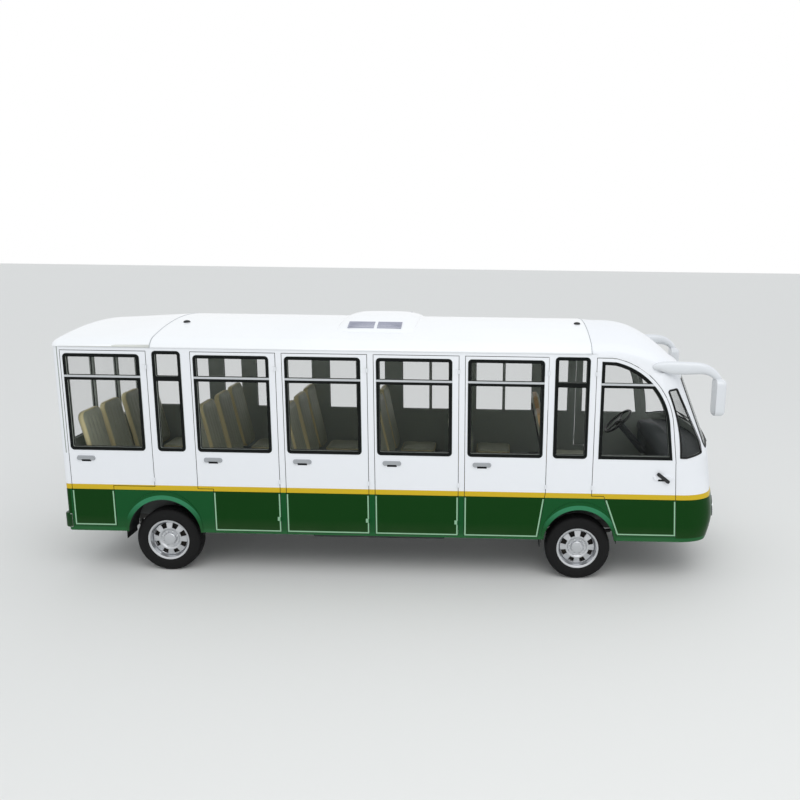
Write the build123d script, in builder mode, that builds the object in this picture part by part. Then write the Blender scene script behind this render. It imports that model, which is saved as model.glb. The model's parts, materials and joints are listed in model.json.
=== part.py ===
"""Electric sightseeing bus: a low box body with a row of hinged side doors on a ladder frame.

Millimetres. +X is forward, +Y is the bus's left, +Z is up. The origin lies on the ground under
the middle of the bus. Stations along the bus are given ahead of the front axle and turned into
places on the X axis by at(). The right side is drawn, and the left side is its mirror image.
"""
from build123d import *
from math import asin, cos, radians, sin, sqrt
import os

os.makedirs("parts", exist_ok=True)

# Main sizes
FRONT_AXLE = 1875.5        # front axle ahead of the origin
WHEELBASE = 4120
HALF_WIDTH = 980           # outer skin of the sides
WALL = 40                  # door and wall thickness
BODY_REAR = -5095          # outer skin of the rear wall
REAR_WALL = 55
BODY_BOTTOM = 440
STRIPE_BOTTOM = 862
DOOR_TOP = 2258
ROOF_EDGE = 2296           # top of the side walls, seat of the roof
SEAM = 6                   # gap round every door
SEAT_GAP = 0.3             # running fit between pieces that rest on each other
PROUD = 4                  # how far window frames stand out of the paint
BEAD = 2                   # how far the edge strips stand out of the paint
LIP = 6                    # how far the wheel arch lips stand out
KEY = 8                    # how deep a raised form is rooted in what carries it

# Windows
SILL = 1275
WINDOW_TOP = 2231
NARROW_TOP = 2266
FRAME_SIDE = 30
FRAME_TOP = 30
FRAME_BOTTOM = 34
TRANSOM_Z = 1998
TRANSOM = 44
WINDOW_RADIUS = 38
GLASS = 5
GLASS_DEPTH = 16           # glass lies this far inside the outer skin

# Front and roof
NOSE_RADIUS = 2600         # plan radius of the front
PANEL = 36                 # thickness of the moulded nose
ROOF = 34
ROOF_LIP = 8               # drip edge of the roof outside the walls
ROOF_SIDE = 2304
CROWN = 2505
NOSE_TOP = 2130
ROOF_FRONT = 60            # seam between roof and nose, ahead of the front axle
ROOF_REAR_SEAM = -4146
ROOF_REAR = -5102

# Wheels
TYRE_RADIUS = 325
TYRE_WIDTH = 185
RIM_RADIUS = 208
WHEEL_Y = 827.5            # middle of a tyre
KINGPIN_Y = 700
ARCHES = [                 # station, centre height and radius of the opening, lip foot and lip top
    (0, 405, 350, 365, 835),
    (-WHEELBASE, 412, 365, 382, 859),
]

# Frame and floor
RAIL_Y = 430
RAIL_WIDTH = 60
RAIL_BOTTOM = 380
FLOOR_BOTTOM = 500
FLOOR = 30
BOX_TOP = 800

# Rows of seats: the station of the back rest at 1.5 m height
ROWS = [-376, -1253, -2130, -3007, -3884, -4915]

# Side doors: name, rear edge, front edge, bottom, step height, rear and front of the lower part,
# window rear edge, window width
DOORS = [
    ("door_right_1", -5016, -4193, 500, 915, -5016, -4605, -4605, -4994, 741),
    ("door_right_2", -3760, -2950, 466, 899, -3605, -2950, -2950, -3738, 728),
    ("door_right_3", -2883, -2073, 466, 899, -2883, -2073, -2073, -2861, 728),
    ("door_right_4", -2006, -1196, 466, 899, -2006, -1196, -1196, -1984, 728),
    ("door_right_5", -1129, -344, 466, 922, -1129, -344, -410, -1107, 728),
]
NARROW = [(-4131, 275), (-281, 331)]          # rear edge and width of the narrow windows
HANDLE_Z = 1193
HINGE_Z = (985, 2110)         # upper two hinges; a third sits lower where the edge runs down
LOW_HINGE_Z = 600
HINGE_Y = HALF_WIDTH + 8
HINGE_RADIUS = 7
HINGE_LENGTH = 40
HINGE_LEAF = 34


def at(station):
    """Turns a distance ahead of the front axle into a place on the X axis."""
    return FRONT_AXLE + station


def block(x0, x1, z0, z1, radius=0, mode=Mode.ADD):
    """Adds a rectangle in the side view, with x0 and x1 as stations."""
    with Locations((at((x0 + x1) / 2), (z0 + z1) / 2)):
        if radius:
            RectangleRounded(x1 - x0, z1 - z0, radius, mode=mode)
        else:
            Rectangle(x1 - x0, z1 - z0, mode=mode)


def outline(points, mode=Mode.ADD):
    """Adds a polygon in the side view, with its first values as stations."""
    Polygon(*[(at(x), z) for x, z in points], align=None, mode=mode)


def grown(shape, amount):
    """Gives a copy of a flat shape with its edge moved outwards."""
    with BuildSketch() as result:
        add(shape)
        offset(amount=amount, kind=Kind.INTERSECTION)
    return result.sketch


# Flat shapes in the side view, shared by doors, walls and glass
def door_shape(rear, front, bottom, step, low_rear, low_front, foot):
    with BuildSketch() as shape:
        block(rear, front, step, DOOR_TOP)
        outline([(low_rear, step), (low_rear, bottom), (foot, bottom), (low_front, step)])
    return shape.sketch


def window_shape(rear, width, top=WINDOW_TOP):
    with BuildSketch() as shape:
        block(rear, rear + width, SILL, top, WINDOW_RADIUS)
    return shape.sketch


def pane_shapes(rear, width, top=WINDOW_TOP):
    """The clear openings above and below the transom of one window."""
    x0, x1 = rear + FRAME_SIDE, rear + width - FRAME_SIDE
    with BuildSketch() as shape:
        block(x0, x1, SILL + FRAME_BOTTOM, TRANSOM_Z - TRANSOM / 2, 12)
        block(x0, x1, TRANSOM_Z + TRANSOM / 2, top - FRAME_TOP, 12)
    return shape.sketch


door_shapes = [door_shape(*row[1:8]) for row in DOORS]
window_shapes = [window_shape(*row[8:]) for row in DOORS]
pane_sets = [pane_shapes(*row[8:]) for row in DOORS]
narrow_windows = [window_shape(rear, width, NARROW_TOP) for rear, width in NARROW]
narrow_panes = [pane_shapes(rear, width, NARROW_TOP) for rear, width in NARROW]

# Front door: its window is bounded by the arched front pillar
FD_REAR, FD_FRONT, FD_BOTTOM, FD_STEP = 113, 945, 503, 901
FD_RIM = 30
with BuildSketch() as front_window:
    with BuildLine():
        top = Line((at(158), 2228), (at(290), 2224))
        arch = ThreePointArc(top @ 1, (at(655), 2012), (at(829), 1633))
        front = TangentArc(arch @ 1, (at(873), SILL), tangent=arch % 1)
        Polyline(front @ 1, (at(158), SILL), (at(158), 2228))
    make_face()
front_window = front_window.sketch
front_clear = grown(front_window, -FRAME_SIDE)
with BuildSketch() as front_panes:
    add(front_clear)
    block(100, 950, TRANSOM_Z - TRANSOM / 2, TRANSOM_Z + TRANSOM / 2, mode=Mode.SUBTRACT)
    block(100, 950, SILL, SILL + FRAME_BOTTOM, mode=Mode.SUBTRACT)
front_panes = front_panes.sketch
with BuildSketch() as front_door_shape:
    add(grown(front_window, FD_RIM))
    outline([(FD_REAR, SILL + 200), (FD_REAR, FD_STEP), (231, FD_STEP), (376, FD_BOTTOM),
             (FD_FRONT, FD_BOTTOM), (903, SILL), (500, SILL + 200)])
    block(FD_REAR, 260, FD_STEP, DOOR_TOP)
front_door_shape = front_door_shape.sketch

# Quarter window behind the windscreen pillar
with BuildSketch() as quarter_window:
    with BuildLine():
        rear_edge = ThreePointArc((at(952), 1287), (at(905), 1640), (at(793), 1958))
        Polyline(rear_edge @ 1, (at(880), 1969), (at(1150), 1431), (at(1165), 1336), (at(952), 1287))
    make_face()
    fillet(vertices(), 16)
quarter_window = quarter_window.sketch

door_holes = [grown(shape, SEAM) for shape in door_shapes]
front_hole = grown(front_door_shape, SEAM)


def arch_lip(station, foot, crest, holes):
    """The outline of a wheel arch lip: wide at the crest and narrow at its feet."""
    middle = (crest ** 2 - foot ** 2 - BODY_BOTTOM ** 2) / (2 * (crest - BODY_BOTTOM))
    with BuildSketch() as band:
        with Locations((at(station), middle)):
            Circle(crest - middle)
        block(station - 2 * foot, station + 2 * foot, 0, BODY_BOTTOM, mode=Mode.SUBTRACT)
        for hole in holes:
            add(hole, mode=Mode.SUBTRACT)
    return band.sketch


lips = [
    arch_lip(row[0], row[3], row[4], holes)
    for row, holes in zip(ARCHES, ([door_holes[4], front_hole], [door_holes[0]]))
]


def side_plane(depth):
    """A side-view plane at a distance from the middle of the bus, on its right."""
    return Plane.XZ.offset(depth)


# Right side wall with its door holes, narrow windows and wheel arches
def wall_plate(holes):
    with BuildSketch() as plate:
        block(BODY_REAR + REAR_WALL, FD_REAR - SEAM, BODY_BOTTOM, ROOF_EDGE)
        block(FD_REAR - SEAM - 1, FD_FRONT + SEAM, BODY_BOTTOM, FD_STEP + 0.5)
        for hole in holes:
            add(hole, mode=Mode.SUBTRACT)
        add(front_hole, mode=Mode.SUBTRACT)
        outline([(FD_FRONT + SEAM - 60, FD_BOTTOM - SEAM), (FD_FRONT + SEAM, FD_BOTTOM - SEAM),
                 (FD_FRONT + SEAM, 950), (FD_FRONT + SEAM - 60, 950)], mode=Mode.SUBTRACT)
    return plate.sketch


right_plate = wall_plate(door_holes)
left_plate = wall_plate([])

with BuildPart() as side_wall_right:
    with BuildSketch(side_plane(HALF_WIDTH - WALL)):
        add(right_plate)
    extrude(amount=WALL)
    with BuildSketch(side_plane(HALF_WIDTH - KEY)):
        for lip in lips:
            add(lip)
    extrude(amount=KEY + LIP)
    with BuildSketch(side_plane(HALF_WIDTH - KEY)):
        for shape in narrow_windows:
            add(shape)
    extrude(amount=KEY + PROUD)
    with BuildSketch(side_plane(HALF_WIDTH - 2 * WALL)):
        for shape in narrow_panes:
            add(shape)
        for station, height, radius, _, _ in ARCHES:
            with Locations((at(station), height)):
                Circle(radius)
    extrude(amount=3 * WALL, mode=Mode.SUBTRACT)
side_wall_right.part.label = "side_wall_right"
export_step(side_wall_right.part, "parts/side_wall_right.step")

# Left side wall: the same windows, fixed, with an upright divider in each wide one
DIVIDER = 26
with BuildPart() as left_drawn:
    with BuildSketch(side_plane(HALF_WIDTH - WALL)):
        add(left_plate)
    extrude(amount=WALL)
    with BuildSketch(side_plane(HALF_WIDTH - KEY)):
        for lip in lips:
            add(lip)
    extrude(amount=KEY + LIP)
    with BuildSketch(side_plane(HALF_WIDTH - KEY)):
        for shape in narrow_windows + window_shapes:
            add(shape)
    extrude(amount=KEY + PROUD)
    with BuildSketch(side_plane(HALF_WIDTH - 2 * WALL)):
        for shape in narrow_panes + pane_sets:
            add(shape)
        for row in DOORS:
            middle = row[8] + row[9] / 2
            block(middle - DIVIDER / 2, middle + DIVIDER / 2, SILL, TRANSOM_Z, mode=Mode.SUBTRACT)
        for station, height, radius, _, _ in ARCHES:
            with Locations((at(station), height)):
                Circle(radius)
    extrude(amount=3 * WALL, mode=Mode.SUBTRACT)
with BuildPart() as side_wall_left:
    add(mirror(left_drawn.part, about=Plane.XZ))
side_wall_left.part.label = "side_wall_left"
export_step(side_wall_left.part, "parts/side_wall_left.step")

# Doors: plate, proud window frame, edge strips on the green part, recessed handle, hinges
HANDLE_LENGTH, HANDLE_HEIGHT, HANDLE_PROUD = 190, 56, 14
STRIP_WIDTH = 13


def door_solid(shape, strip, window, panes, handle_x, handle_z, hinge_x, hinge_side, heights):
    with BuildPart() as door:
        with BuildSketch(side_plane(HALF_WIDTH - WALL)):
            add(shape)
        extrude(amount=WALL)
        with BuildSketch(side_plane(HALF_WIDTH)):
            add(strip)
        extrude(amount=BEAD)
        with BuildSketch(side_plane(HALF_WIDTH - KEY)):
            add(window)
        extrude(amount=KEY + PROUD)
        with BuildSketch(side_plane(HALF_WIDTH - 2 * WALL)):
            add(panes)
        extrude(amount=3 * WALL, mode=Mode.SUBTRACT)
        with BuildSketch(side_plane(HALF_WIDTH - KEY)):
            block(handle_x - HANDLE_LENGTH / 2, handle_x + HANDLE_LENGTH / 2,
                  handle_z - HANDLE_HEIGHT / 2, handle_z + HANDLE_HEIGHT / 2, HANDLE_HEIGHT / 2 - 1)
        extrude(amount=KEY + HANDLE_PROUD, taper=20)
        with BuildSketch(side_plane(HALF_WIDTH - 4)):
            block(handle_x - HANDLE_LENGTH / 4, handle_x + HANDLE_LENGTH / 4,
                  handle_z - HANDLE_HEIGHT / 2 - 8, handle_z - HANDLE_HEIGHT / 5, 5)
        extrude(amount=HANDLE_PROUD + 8, mode=Mode.SUBTRACT)
        for z in heights:
            with BuildSketch(Plane.XY.offset(z - HINGE_LENGTH / 2)):
                with Locations((at(hinge_x), -HINGE_Y)):
                    Circle(HINGE_RADIUS)
                with Locations((at(hinge_x - hinge_side * HINGE_LEAF / 2), -HALF_WIDTH - 1.5)):
                    Rectangle(HINGE_LEAF, 4)
            extrude(amount=HINGE_LENGTH)
    return door.part


def strip_shape(shape):
    """The light strip along the edge of a door's green part."""
    inner = grown(shape, -STRIP_WIDTH)
    with BuildSketch() as strip:
        add(shape)
        add(inner, mode=Mode.SUBTRACT)
        block(BODY_REAR, FD_FRONT + SEAM, STRIPE_BOTTOM - 4, ROOF_EDGE, mode=Mode.SUBTRACT)
    return strip.sketch


door_strips = [strip_shape(shape) for shape in door_shapes]
for row, shape, strip, window, panes in zip(DOORS, door_shapes, door_strips, window_shapes, pane_sets):
    heights = HINGE_Z + (LOW_HINGE_Z,) if row[6] == row[2] == row[7] else HINGE_Z
    door = door_solid(shape, strip, window, panes, row[1] + 165, HANDLE_Z,
                      row[2] + SEAM / 2, 1, heights)
    door.label = row[0]
    export_step(door, f"parts/{row[0]}.step")

front_door = door_solid(front_door_shape, strip_shape(front_door_shape), front_window,
                        front_panes, 790, 1097, FD_REAR - SEAM / 2, -1, HINGE_Z)
front_door.label = "door_right_front"
export_step(front_door, "parts/door_right_front.step")

with BuildPart() as door_left_front:
    add(mirror(front_door, about=Plane.XZ))
door_left_front.part.label = "door_left_front"
export_step(door_left_front.part, "parts/door_left_front.step")


# Glass: one pane above and one below each transom, inside its frame
glass_table = [(row[0].replace("door", "glass"), panes) for row, panes in zip(DOORS, pane_sets)]
glass_table.append(("glass_right_front", front_panes))
for name, panes in glass_table:
    fitted = grown(panes, -SEAT_GAP)
    with BuildPart() as glass:
        with BuildSketch(side_plane(HALF_WIDTH - GLASS_DEPTH - GLASS)):
            add(fitted)
        extrude(amount=GLASS)
    glass.part.label = name
    export_step(glass.part, f"parts/{name}.step")

with BuildPart() as glass_left_front:
    add(mirror(glass.part, about=Plane.XZ))
glass_left_front.part.label = "glass_left_front"
export_step(glass_left_front.part, "parts/glass_left_front.step")

# Nose levels: height, front at the middle of the bus, corner radius
NOSE = [(440, 1335, 240), (620, 1366, 262), (900, 1378, 290), (1300, 1368, 290), (NOSE_TOP, 1028, 200)]
# Brow sections: station, half width, height where the side ends, crown height
BROW = [(ROOF_FRONT, 980, 2304, CROWN), (420, 980, 2296, CROWN - 23), (690, 972, 2215, CROWN - 121),
        (860, 903, 2160, CROWN - 243), (962, 640, 2136, CROWN - 339)]
BROW_BASE = 2050
CHORD_IN = 110             # where the crown arc gives way to the shoulder arc
CHORD_RISE = 0.42


def nose_solid(inset, levels, rear=ROOF_FRONT):
    """The nose up to the brow, drawn inside its outer skin by an inset."""
    radius = NOSE_RADIUS - inset
    half = HALF_WIDTH - inset
    with BuildPart() as nose:
        for height, front, corner in levels:
            reach = sqrt((NOSE_RADIUS - corner) ** 2 - (HALF_WIDTH - corner) ** 2)
            middle = at(front) - NOSE_RADIUS
            turn = asin((HALF_WIDTH - corner) / (NOSE_RADIUS - corner))
            bend = middle + reach
            small = corner - inset
            half_turn = (radians(90) + turn) / 2
            corner_mid = (bend + small * cos(half_turn), half - small + small * sin(half_turn))
            touch = (middle + radius * cos(turn), radius * sin(turn))
            with BuildSketch(Plane.XY.offset(height)):
                with BuildLine():
                    Line((at(rear), half), (bend, half))
                    ThreePointArc((bend, half), corner_mid, touch)
                    ThreePointArc(touch, (middle + radius, 0), (touch[0], -touch[1]))
                    ThreePointArc((touch[0], -touch[1]), (corner_mid[0], -corner_mid[1]), (bend, -half))
                    Polyline((bend, -half), (at(rear), -half), (at(rear), half))
                make_face()
        loft()
    return nose.part


def crown_shape(half, side_top, crown, base, inset=0):
    """A section across the roof: upright sides, a shoulder arc and a wide crown arc."""
    side = half - inset
    low = side_top - inset
    chord_z = low + CHORD_RISE * (crown - side_top)
    with BuildSketch() as shape:
        with BuildLine():
            crown_arc = ThreePointArc((-side + CHORD_IN, chord_z), (0, crown - inset),
                                      (side - CHORD_IN, chord_z))
            TangentArc(crown_arc @ 1, (side, low), tangent=crown_arc % 1)
            Polyline((side, low), (side, base), (-side, base), (-side, low))
            TangentArc(crown_arc @ 0, (-side, low), tangent=-(crown_arc % 0))
        make_face()
    return shape.sketch


def brow_solid(inset, sections, base):
    """The brow over the windscreen, as sections across the bus."""
    shapes = [(row[0], crown_shape(*row[1:], base, inset)) for row in sections]
    with BuildPart() as brow:
        for station, shape in shapes:
            with BuildSketch(Plane.YZ.offset(at(station))):
                add(shape)
        loft()
    return brow.part


outer_skin = [
    nose_solid(0, NOSE[:3]), nose_solid(0, NOSE[2:4]), nose_solid(0, NOSE[3:]),
    brow_solid(0, BROW, BROW_BASE),
]
inner_base = [(BODY_BOTTOM - 10,) + NOSE[0][1:]] + NOSE[1:3]
inner_top = [NOSE[3], (NOSE_TOP - PANEL,) + NOSE[4][1:]]
INNER_REAR = ROOF_FRONT - 20   # the hollow runs out past the open back edge
inner_skin = [
    nose_solid(PANEL, inner_base, INNER_REAR),
    nose_solid(PANEL, NOSE[2:4], INNER_REAR),
    nose_solid(PANEL, inner_top, INNER_REAR),
    brow_solid(PANEL, [(INNER_REAR,) + BROW[0][1:]] + BROW[1:], BROW_BASE - 40),
]

# Front view shapes on the nose: half width at the bottom and top of the windscreen
SCREEN_LOW, SCREEN_HIGH = 1350, 2062
SCREEN_HALF_LOW, SCREEN_HALF_HIGH = 800, 770
SCREEN_RADIUS = 70
LAMP_Y, LAMP_Z, LAMP_WIDTH, LAMP_HEIGHT = 610, 705, 250, 170
GRILLE_WIDTH, GRILLE_LOW, GRILLE_HIGH, GRILLE_BARS = 640, 520, 640, 4


def front_plane(station):
    """A front-view plane at a station: its X runs to the bus's left."""
    return Plane.YZ.offset(at(station))


with BuildSketch() as screen_shape:
    Polygon((-SCREEN_HALF_LOW, SCREEN_LOW), (SCREEN_HALF_LOW, SCREEN_LOW),
            (SCREEN_HALF_HIGH, SCREEN_HIGH), (-SCREEN_HALF_HIGH, SCREEN_HIGH), align=None)
    fillet(vertices(), SCREEN_RADIUS)
screen_shape = screen_shape.sketch
screen_glass_shape = grown(screen_shape, -SEAT_GAP)
with BuildSketch() as lamp_shape:
    with Locations((-LAMP_Y, LAMP_Z), (LAMP_Y, LAMP_Z)):
        RectangleRounded(LAMP_WIDTH, LAMP_HEIGHT, LAMP_HEIGHT / 2 - 4)
lamp_shape = lamp_shape.sketch
lamp_glass_shape = grown(lamp_shape, -SEAT_GAP)
with BuildSketch() as grille_shape:
    with Locations((0, (GRILLE_LOW + GRILLE_HIGH) / 2)):
        RectangleRounded(GRILLE_WIDTH, GRILLE_HIGH - GRILLE_LOW, 30)
grille_shape = grille_shape.sketch
quarter_glass_shape = grown(quarter_window, -SEAT_GAP)

# Nose panel: fascia, corners, pillars, windscreen surround and brow in one moulding
with BuildPart() as front_panel:
    for piece in outer_skin:
        add(piece)
    for piece in inner_skin:
        add(piece, mode=Mode.SUBTRACT)
    with BuildSketch(front_plane(700)):
        add(screen_shape)
    extrude(amount=900, mode=Mode.SUBTRACT)
    with BuildSketch(front_plane(1100)):
        add(lamp_shape)
        add(grille_shape)
    extrude(amount=500, mode=Mode.SUBTRACT)
    with BuildSketch(side_plane(-HALF_WIDTH - 20)):
        block(-100, FD_REAR - SEAM, 0, ROOF_EDGE)
    extrude(amount=2 * HALF_WIDTH + 40, mode=Mode.SUBTRACT)
    with BuildSketch(side_plane(-HALF_WIDTH - 20)):
        block(-100, 400, 0, FD_STEP)
        block(-100, FD_FRONT + SEAM, 0, FD_BOTTOM - SEAM / 2)
        add(front_hole)
    extrude(amount=2 * HALF_WIDTH + 40, mode=Mode.SUBTRACT)
    with BuildSketch(side_plane(-HALF_WIDTH - 20)):
        add(quarter_window)
    extrude(amount=2 * HALF_WIDTH + 40, mode=Mode.SUBTRACT)
front_panel.part.label = "front_panel"
export_step(front_panel.part, "parts/front_panel.step")

# Roof: a crowned main panel, and a rear cap with a rounded back edge
roof_outer = crown_shape(HALF_WIDTH + ROOF_LIP, ROOF_SIDE, CROWN, ROOF_EDGE)
roof_inner = crown_shape(HALF_WIDTH + ROOF_LIP, ROOF_SIDE, CROWN, ROOF_EDGE - ROOF, ROOF)
ROOF_SEAM = 3
with BuildPart() as roof_panel:
    with BuildSketch(front_plane(ROOF_REAR_SEAM)):
        add(roof_outer)
        add(roof_inner, mode=Mode.SUBTRACT)
    extrude(amount=ROOF_FRONT - ROOF_REAR_SEAM - ROOF_SEAM)
roof_panel.part.label = "roof_panel"
export_step(roof_panel.part, "parts/roof_panel.step")

# Rounded back of the roof: distance from its end, half width lost, crown lost
ROOF_BACK = [(90, 0, 0), (28, 7, 16), (0, 34, 62)]
back_shapes = [
    crown_shape(HALF_WIDTH + ROOF_LIP - narrower, ROOF_SIDE, CROWN - lower, ROOF_EDGE)
    for _, narrower, lower in ROOF_BACK
]
with BuildPart() as roof_rear_cap:
    for row, shape in zip(ROOF_BACK, back_shapes):
        with BuildSketch(front_plane(ROOF_REAR + row[0])):
            add(shape)
    loft()
    with BuildSketch(front_plane(ROOF_REAR + ROOF_BACK[0][0])):
        add(roof_outer)
    extrude(amount=ROOF_REAR_SEAM - ROOF_SEAM - ROOF_REAR - ROOF_BACK[0][0])
    with BuildSketch(front_plane(ROOF_REAR + REAR_WALL)):
        add(roof_inner)
    extrude(amount=-ROOF_REAR, mode=Mode.SUBTRACT)
roof_rear_cap.part.label = "roof_rear_cap"
export_step(roof_rear_cap.part, "parts/roof_rear_cap.step")

# Roof pod: a low tapered housing with a louvre on each side slope
POD_X, POD_LENGTH, POD_TOP_LENGTH, POD_TOP_X = -2048, 840, 540, -2025
POD_WIDTH, POD_TOP_WIDTH, POD_TOP_Z, POD_BASE_Z = 700, 520, CROWN + 57, CROWN - 65
with BuildPart() as roof_pod:
    with BuildSketch(Plane.XY.offset(POD_BASE_Z)):
        with Locations((at(POD_X), 0)):
            RectangleRounded(POD_LENGTH + 60, POD_WIDTH + 60, 90)
    with BuildSketch(Plane.XY.offset(POD_TOP_Z)):
        with Locations((at(POD_TOP_X), 0)):
            RectangleRounded(POD_TOP_LENGTH, POD_TOP_WIDTH, 60)
    loft()
    fillet(roof_pod.faces().sort_by(Axis.Z)[-1].edges(), 12)
    crown_cut = crown_shape(HALF_WIDTH + ROOF_LIP, ROOF_SIDE, CROWN + SEAT_GAP, ROOF_EDGE)
    with BuildSketch(front_plane(POD_X - POD_LENGTH)):
        add(crown_cut)
    extrude(amount=2 * POD_LENGTH, mode=Mode.SUBTRACT)
roof_pod.part.label = "roof_pod"
export_step(roof_pod.part, "parts/roof_pod.step")

# Rear wall with a three-part window
REAR_HALF, REAR_LOW, REAR_HIGH, REAR_BAR, REAR_BAR_Y = 800, 1300, 2210, 30, 265
REAR_CORNER = 46
with BuildSketch() as rear_opening:
    with Locations((0, (REAR_LOW + REAR_HIGH) / 2)):
        RectangleRounded(2 * REAR_HALF, REAR_HIGH - REAR_LOW, 60)
rear_opening = rear_opening.sketch
with BuildSketch() as rear_panes:
    add(grown(rear_opening, -FRAME_SIDE))
    with Locations((-REAR_BAR_Y, (REAR_LOW + REAR_HIGH) / 2), (REAR_BAR_Y, (REAR_LOW + REAR_HIGH) / 2)):
        Rectangle(REAR_BAR, REAR_HIGH, mode=Mode.SUBTRACT)
rear_panes = rear_panes.sketch
rear_glass_shape = grown(rear_panes, -SEAT_GAP)
with BuildPart() as rear_wall:
    with BuildSketch(Plane.XY.offset(BODY_BOTTOM)):
        with Locations((at(BODY_REAR + REAR_WALL / 2), 0)):
            Rectangle(REAR_WALL, 2 * HALF_WIDTH)
    extrude(amount=ROOF_EDGE - BODY_BOTTOM)
    fillet(rear_wall.edges().filter_by(Axis.Z).group_by(Axis.X)[0], REAR_CORNER)
    with BuildSketch(front_plane(BODY_REAR + WALL)):
        Rectangle(2 * (HALF_WIDTH - WALL), 2 * ROOF_EDGE)
    extrude(amount=WALL, mode=Mode.SUBTRACT)
    with BuildSketch(front_plane(BODY_REAR - PROUD)):
        add(rear_opening)
    extrude(amount=WALL + PROUD)
    with BuildSketch(front_plane(BODY_REAR - WALL)):
        add(rear_panes)
    extrude(amount=3 * WALL, mode=Mode.SUBTRACT)
rear_wall.part.label = "rear_wall"
export_step(rear_wall.part, "parts/rear_wall.step")

# Fixed glass: narrow windows, left side, quarter windows and rear window
fixed_panes = [grown(panes, -SEAT_GAP) for panes in narrow_panes]
left_panes = []
for row, panes in zip(DOORS, pane_sets):
    middle = row[8] + row[9] / 2
    with BuildSketch() as split_panes:
        add(panes)
        block(middle - DIVIDER / 2, middle + DIVIDER / 2, SILL, TRANSOM_Z, mode=Mode.SUBTRACT)
    left_panes.append(grown(split_panes.sketch, -SEAT_GAP))
with BuildPart() as right_fixed:
    with BuildSketch(side_plane(HALF_WIDTH - GLASS_DEPTH - GLASS)):
        for panes in fixed_panes:
            add(panes)
    extrude(amount=GLASS)
with BuildPart() as left_fixed:
    with BuildSketch(side_plane(HALF_WIDTH - GLASS_DEPTH - GLASS)):
        for panes in fixed_panes + left_panes:
            add(panes)
    extrude(amount=GLASS)
GLASS_INSET = 3
quarter_skin = nose_solid(GLASS_INSET, NOSE[3:])
quarter_core = nose_solid(GLASS_INSET + GLASS, NOSE[3:])
with BuildPart() as quarter_glass:
    add(quarter_skin)
    add(quarter_core, mode=Mode.SUBTRACT)
    with BuildSketch(side_plane(-HALF_WIDTH - 20)):
        add(quarter_glass_shape)
    extrude(amount=2 * HALF_WIDTH + 40, mode=Mode.INTERSECT)
with BuildPart() as fixed_glass:
    add(right_fixed.part)
    add(mirror(left_fixed.part, about=Plane.XZ))
    add(quarter_glass.part)
    with BuildSketch(front_plane(BODY_REAR + GLASS_DEPTH)):
        add(rear_glass_shape)
    extrude(amount=GLASS)
fixed_glass.part.label = "fixed_glass"
export_step(fixed_glass.part, "parts/fixed_glass.step")

with BuildPart() as windscreen:
    add(quarter_skin)
    add(quarter_core, mode=Mode.SUBTRACT)
    with BuildSketch(front_plane(700)):
        add(screen_glass_shape)
    extrude(amount=900, mode=Mode.INTERSECT)
windscreen.part.label = "windscreen"
export_step(windscreen.part, "parts/windscreen.step")

# Headlamps and lower grille, set into the fascia
LAMP_PROUD, LAMP_DEPTH = 6, 30
lamp_skin = nose_solid(-LAMP_PROUD, NOSE[:3])
lamp_core = nose_solid(LAMP_DEPTH, NOSE[:3])
with BuildPart() as headlamps:
    with BuildSketch(front_plane(1100)):
        add(lamp_glass_shape)
    extrude(amount=500)
    add(lamp_skin, mode=Mode.INTERSECT)
    add(lamp_core, mode=Mode.SUBTRACT)
headlamps.part.label = "headlamps"
export_step(headlamps.part, "parts/headlamps.step")

grille_fitted = grown(grille_shape, -SEAT_GAP)
grille_skin = nose_solid(4, NOSE[:3])
grille_core = nose_solid(26, NOSE[:3])
with BuildPart() as grille:
    with BuildSketch(front_plane(1100)):
        add(grille_fitted)
        slot_pitch = (GRILLE_HIGH - GRILLE_LOW - 20) / GRILLE_BARS
        with GridLocations(0, slot_pitch, 1, GRILLE_BARS):
            with Locations((0, (GRILLE_HIGH + GRILLE_LOW) / 2)):
                SlotOverall(GRILLE_WIDTH - 60, slot_pitch * 0.6, mode=Mode.SUBTRACT)
    extrude(amount=500)
    add(grille_skin, mode=Mode.INTERSECT)
    add(grille_core, mode=Mode.SUBTRACT)
grille.part.label = "grille"
export_step(grille.part, "parts/grille.step")

# Rear bumper, wrapped round the foot of the rear wall
BUMPER_REAR, BUMPER_FRONT, BUMPER_LOW, BUMPER_HIGH, BUMPER_OUT = -5130, -5045, 468, 617, 6
with BuildPart() as rear_bumper:
    with BuildSketch(Plane.XY.offset(BUMPER_LOW)):
        with Locations((at((BUMPER_REAR + BUMPER_FRONT) / 2), 0)):
            Rectangle(BUMPER_FRONT - BUMPER_REAR, 2 * (HALF_WIDTH + BUMPER_OUT))
    extrude(amount=BUMPER_HIGH - BUMPER_LOW)
    fillet(rear_bumper.edges().filter_by(Axis.Z).group_by(Axis.X)[0], REAR_CORNER + 14)
    fillet(rear_bumper.faces().sort_by(Axis.X)[0].edges().filter_by(Axis.Y), 14)
    with BuildSketch(Plane.XY.offset(BUMPER_LOW)):
        with Locations((at(BODY_REAR + REAR_WALL) - SEAT_GAP, 0)):
            Rectangle(2 * REAR_WALL, 2 * (HALF_WIDTH + SEAT_GAP))
        fillet(vertices().group_by(Axis.X)[0], REAR_CORNER)
    extrude(amount=BUMPER_HIGH, mode=Mode.SUBTRACT)
rear_bumper.part.label = "rear_bumper"
export_step(rear_bumper.part, "parts/rear_bumper.step")

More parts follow.
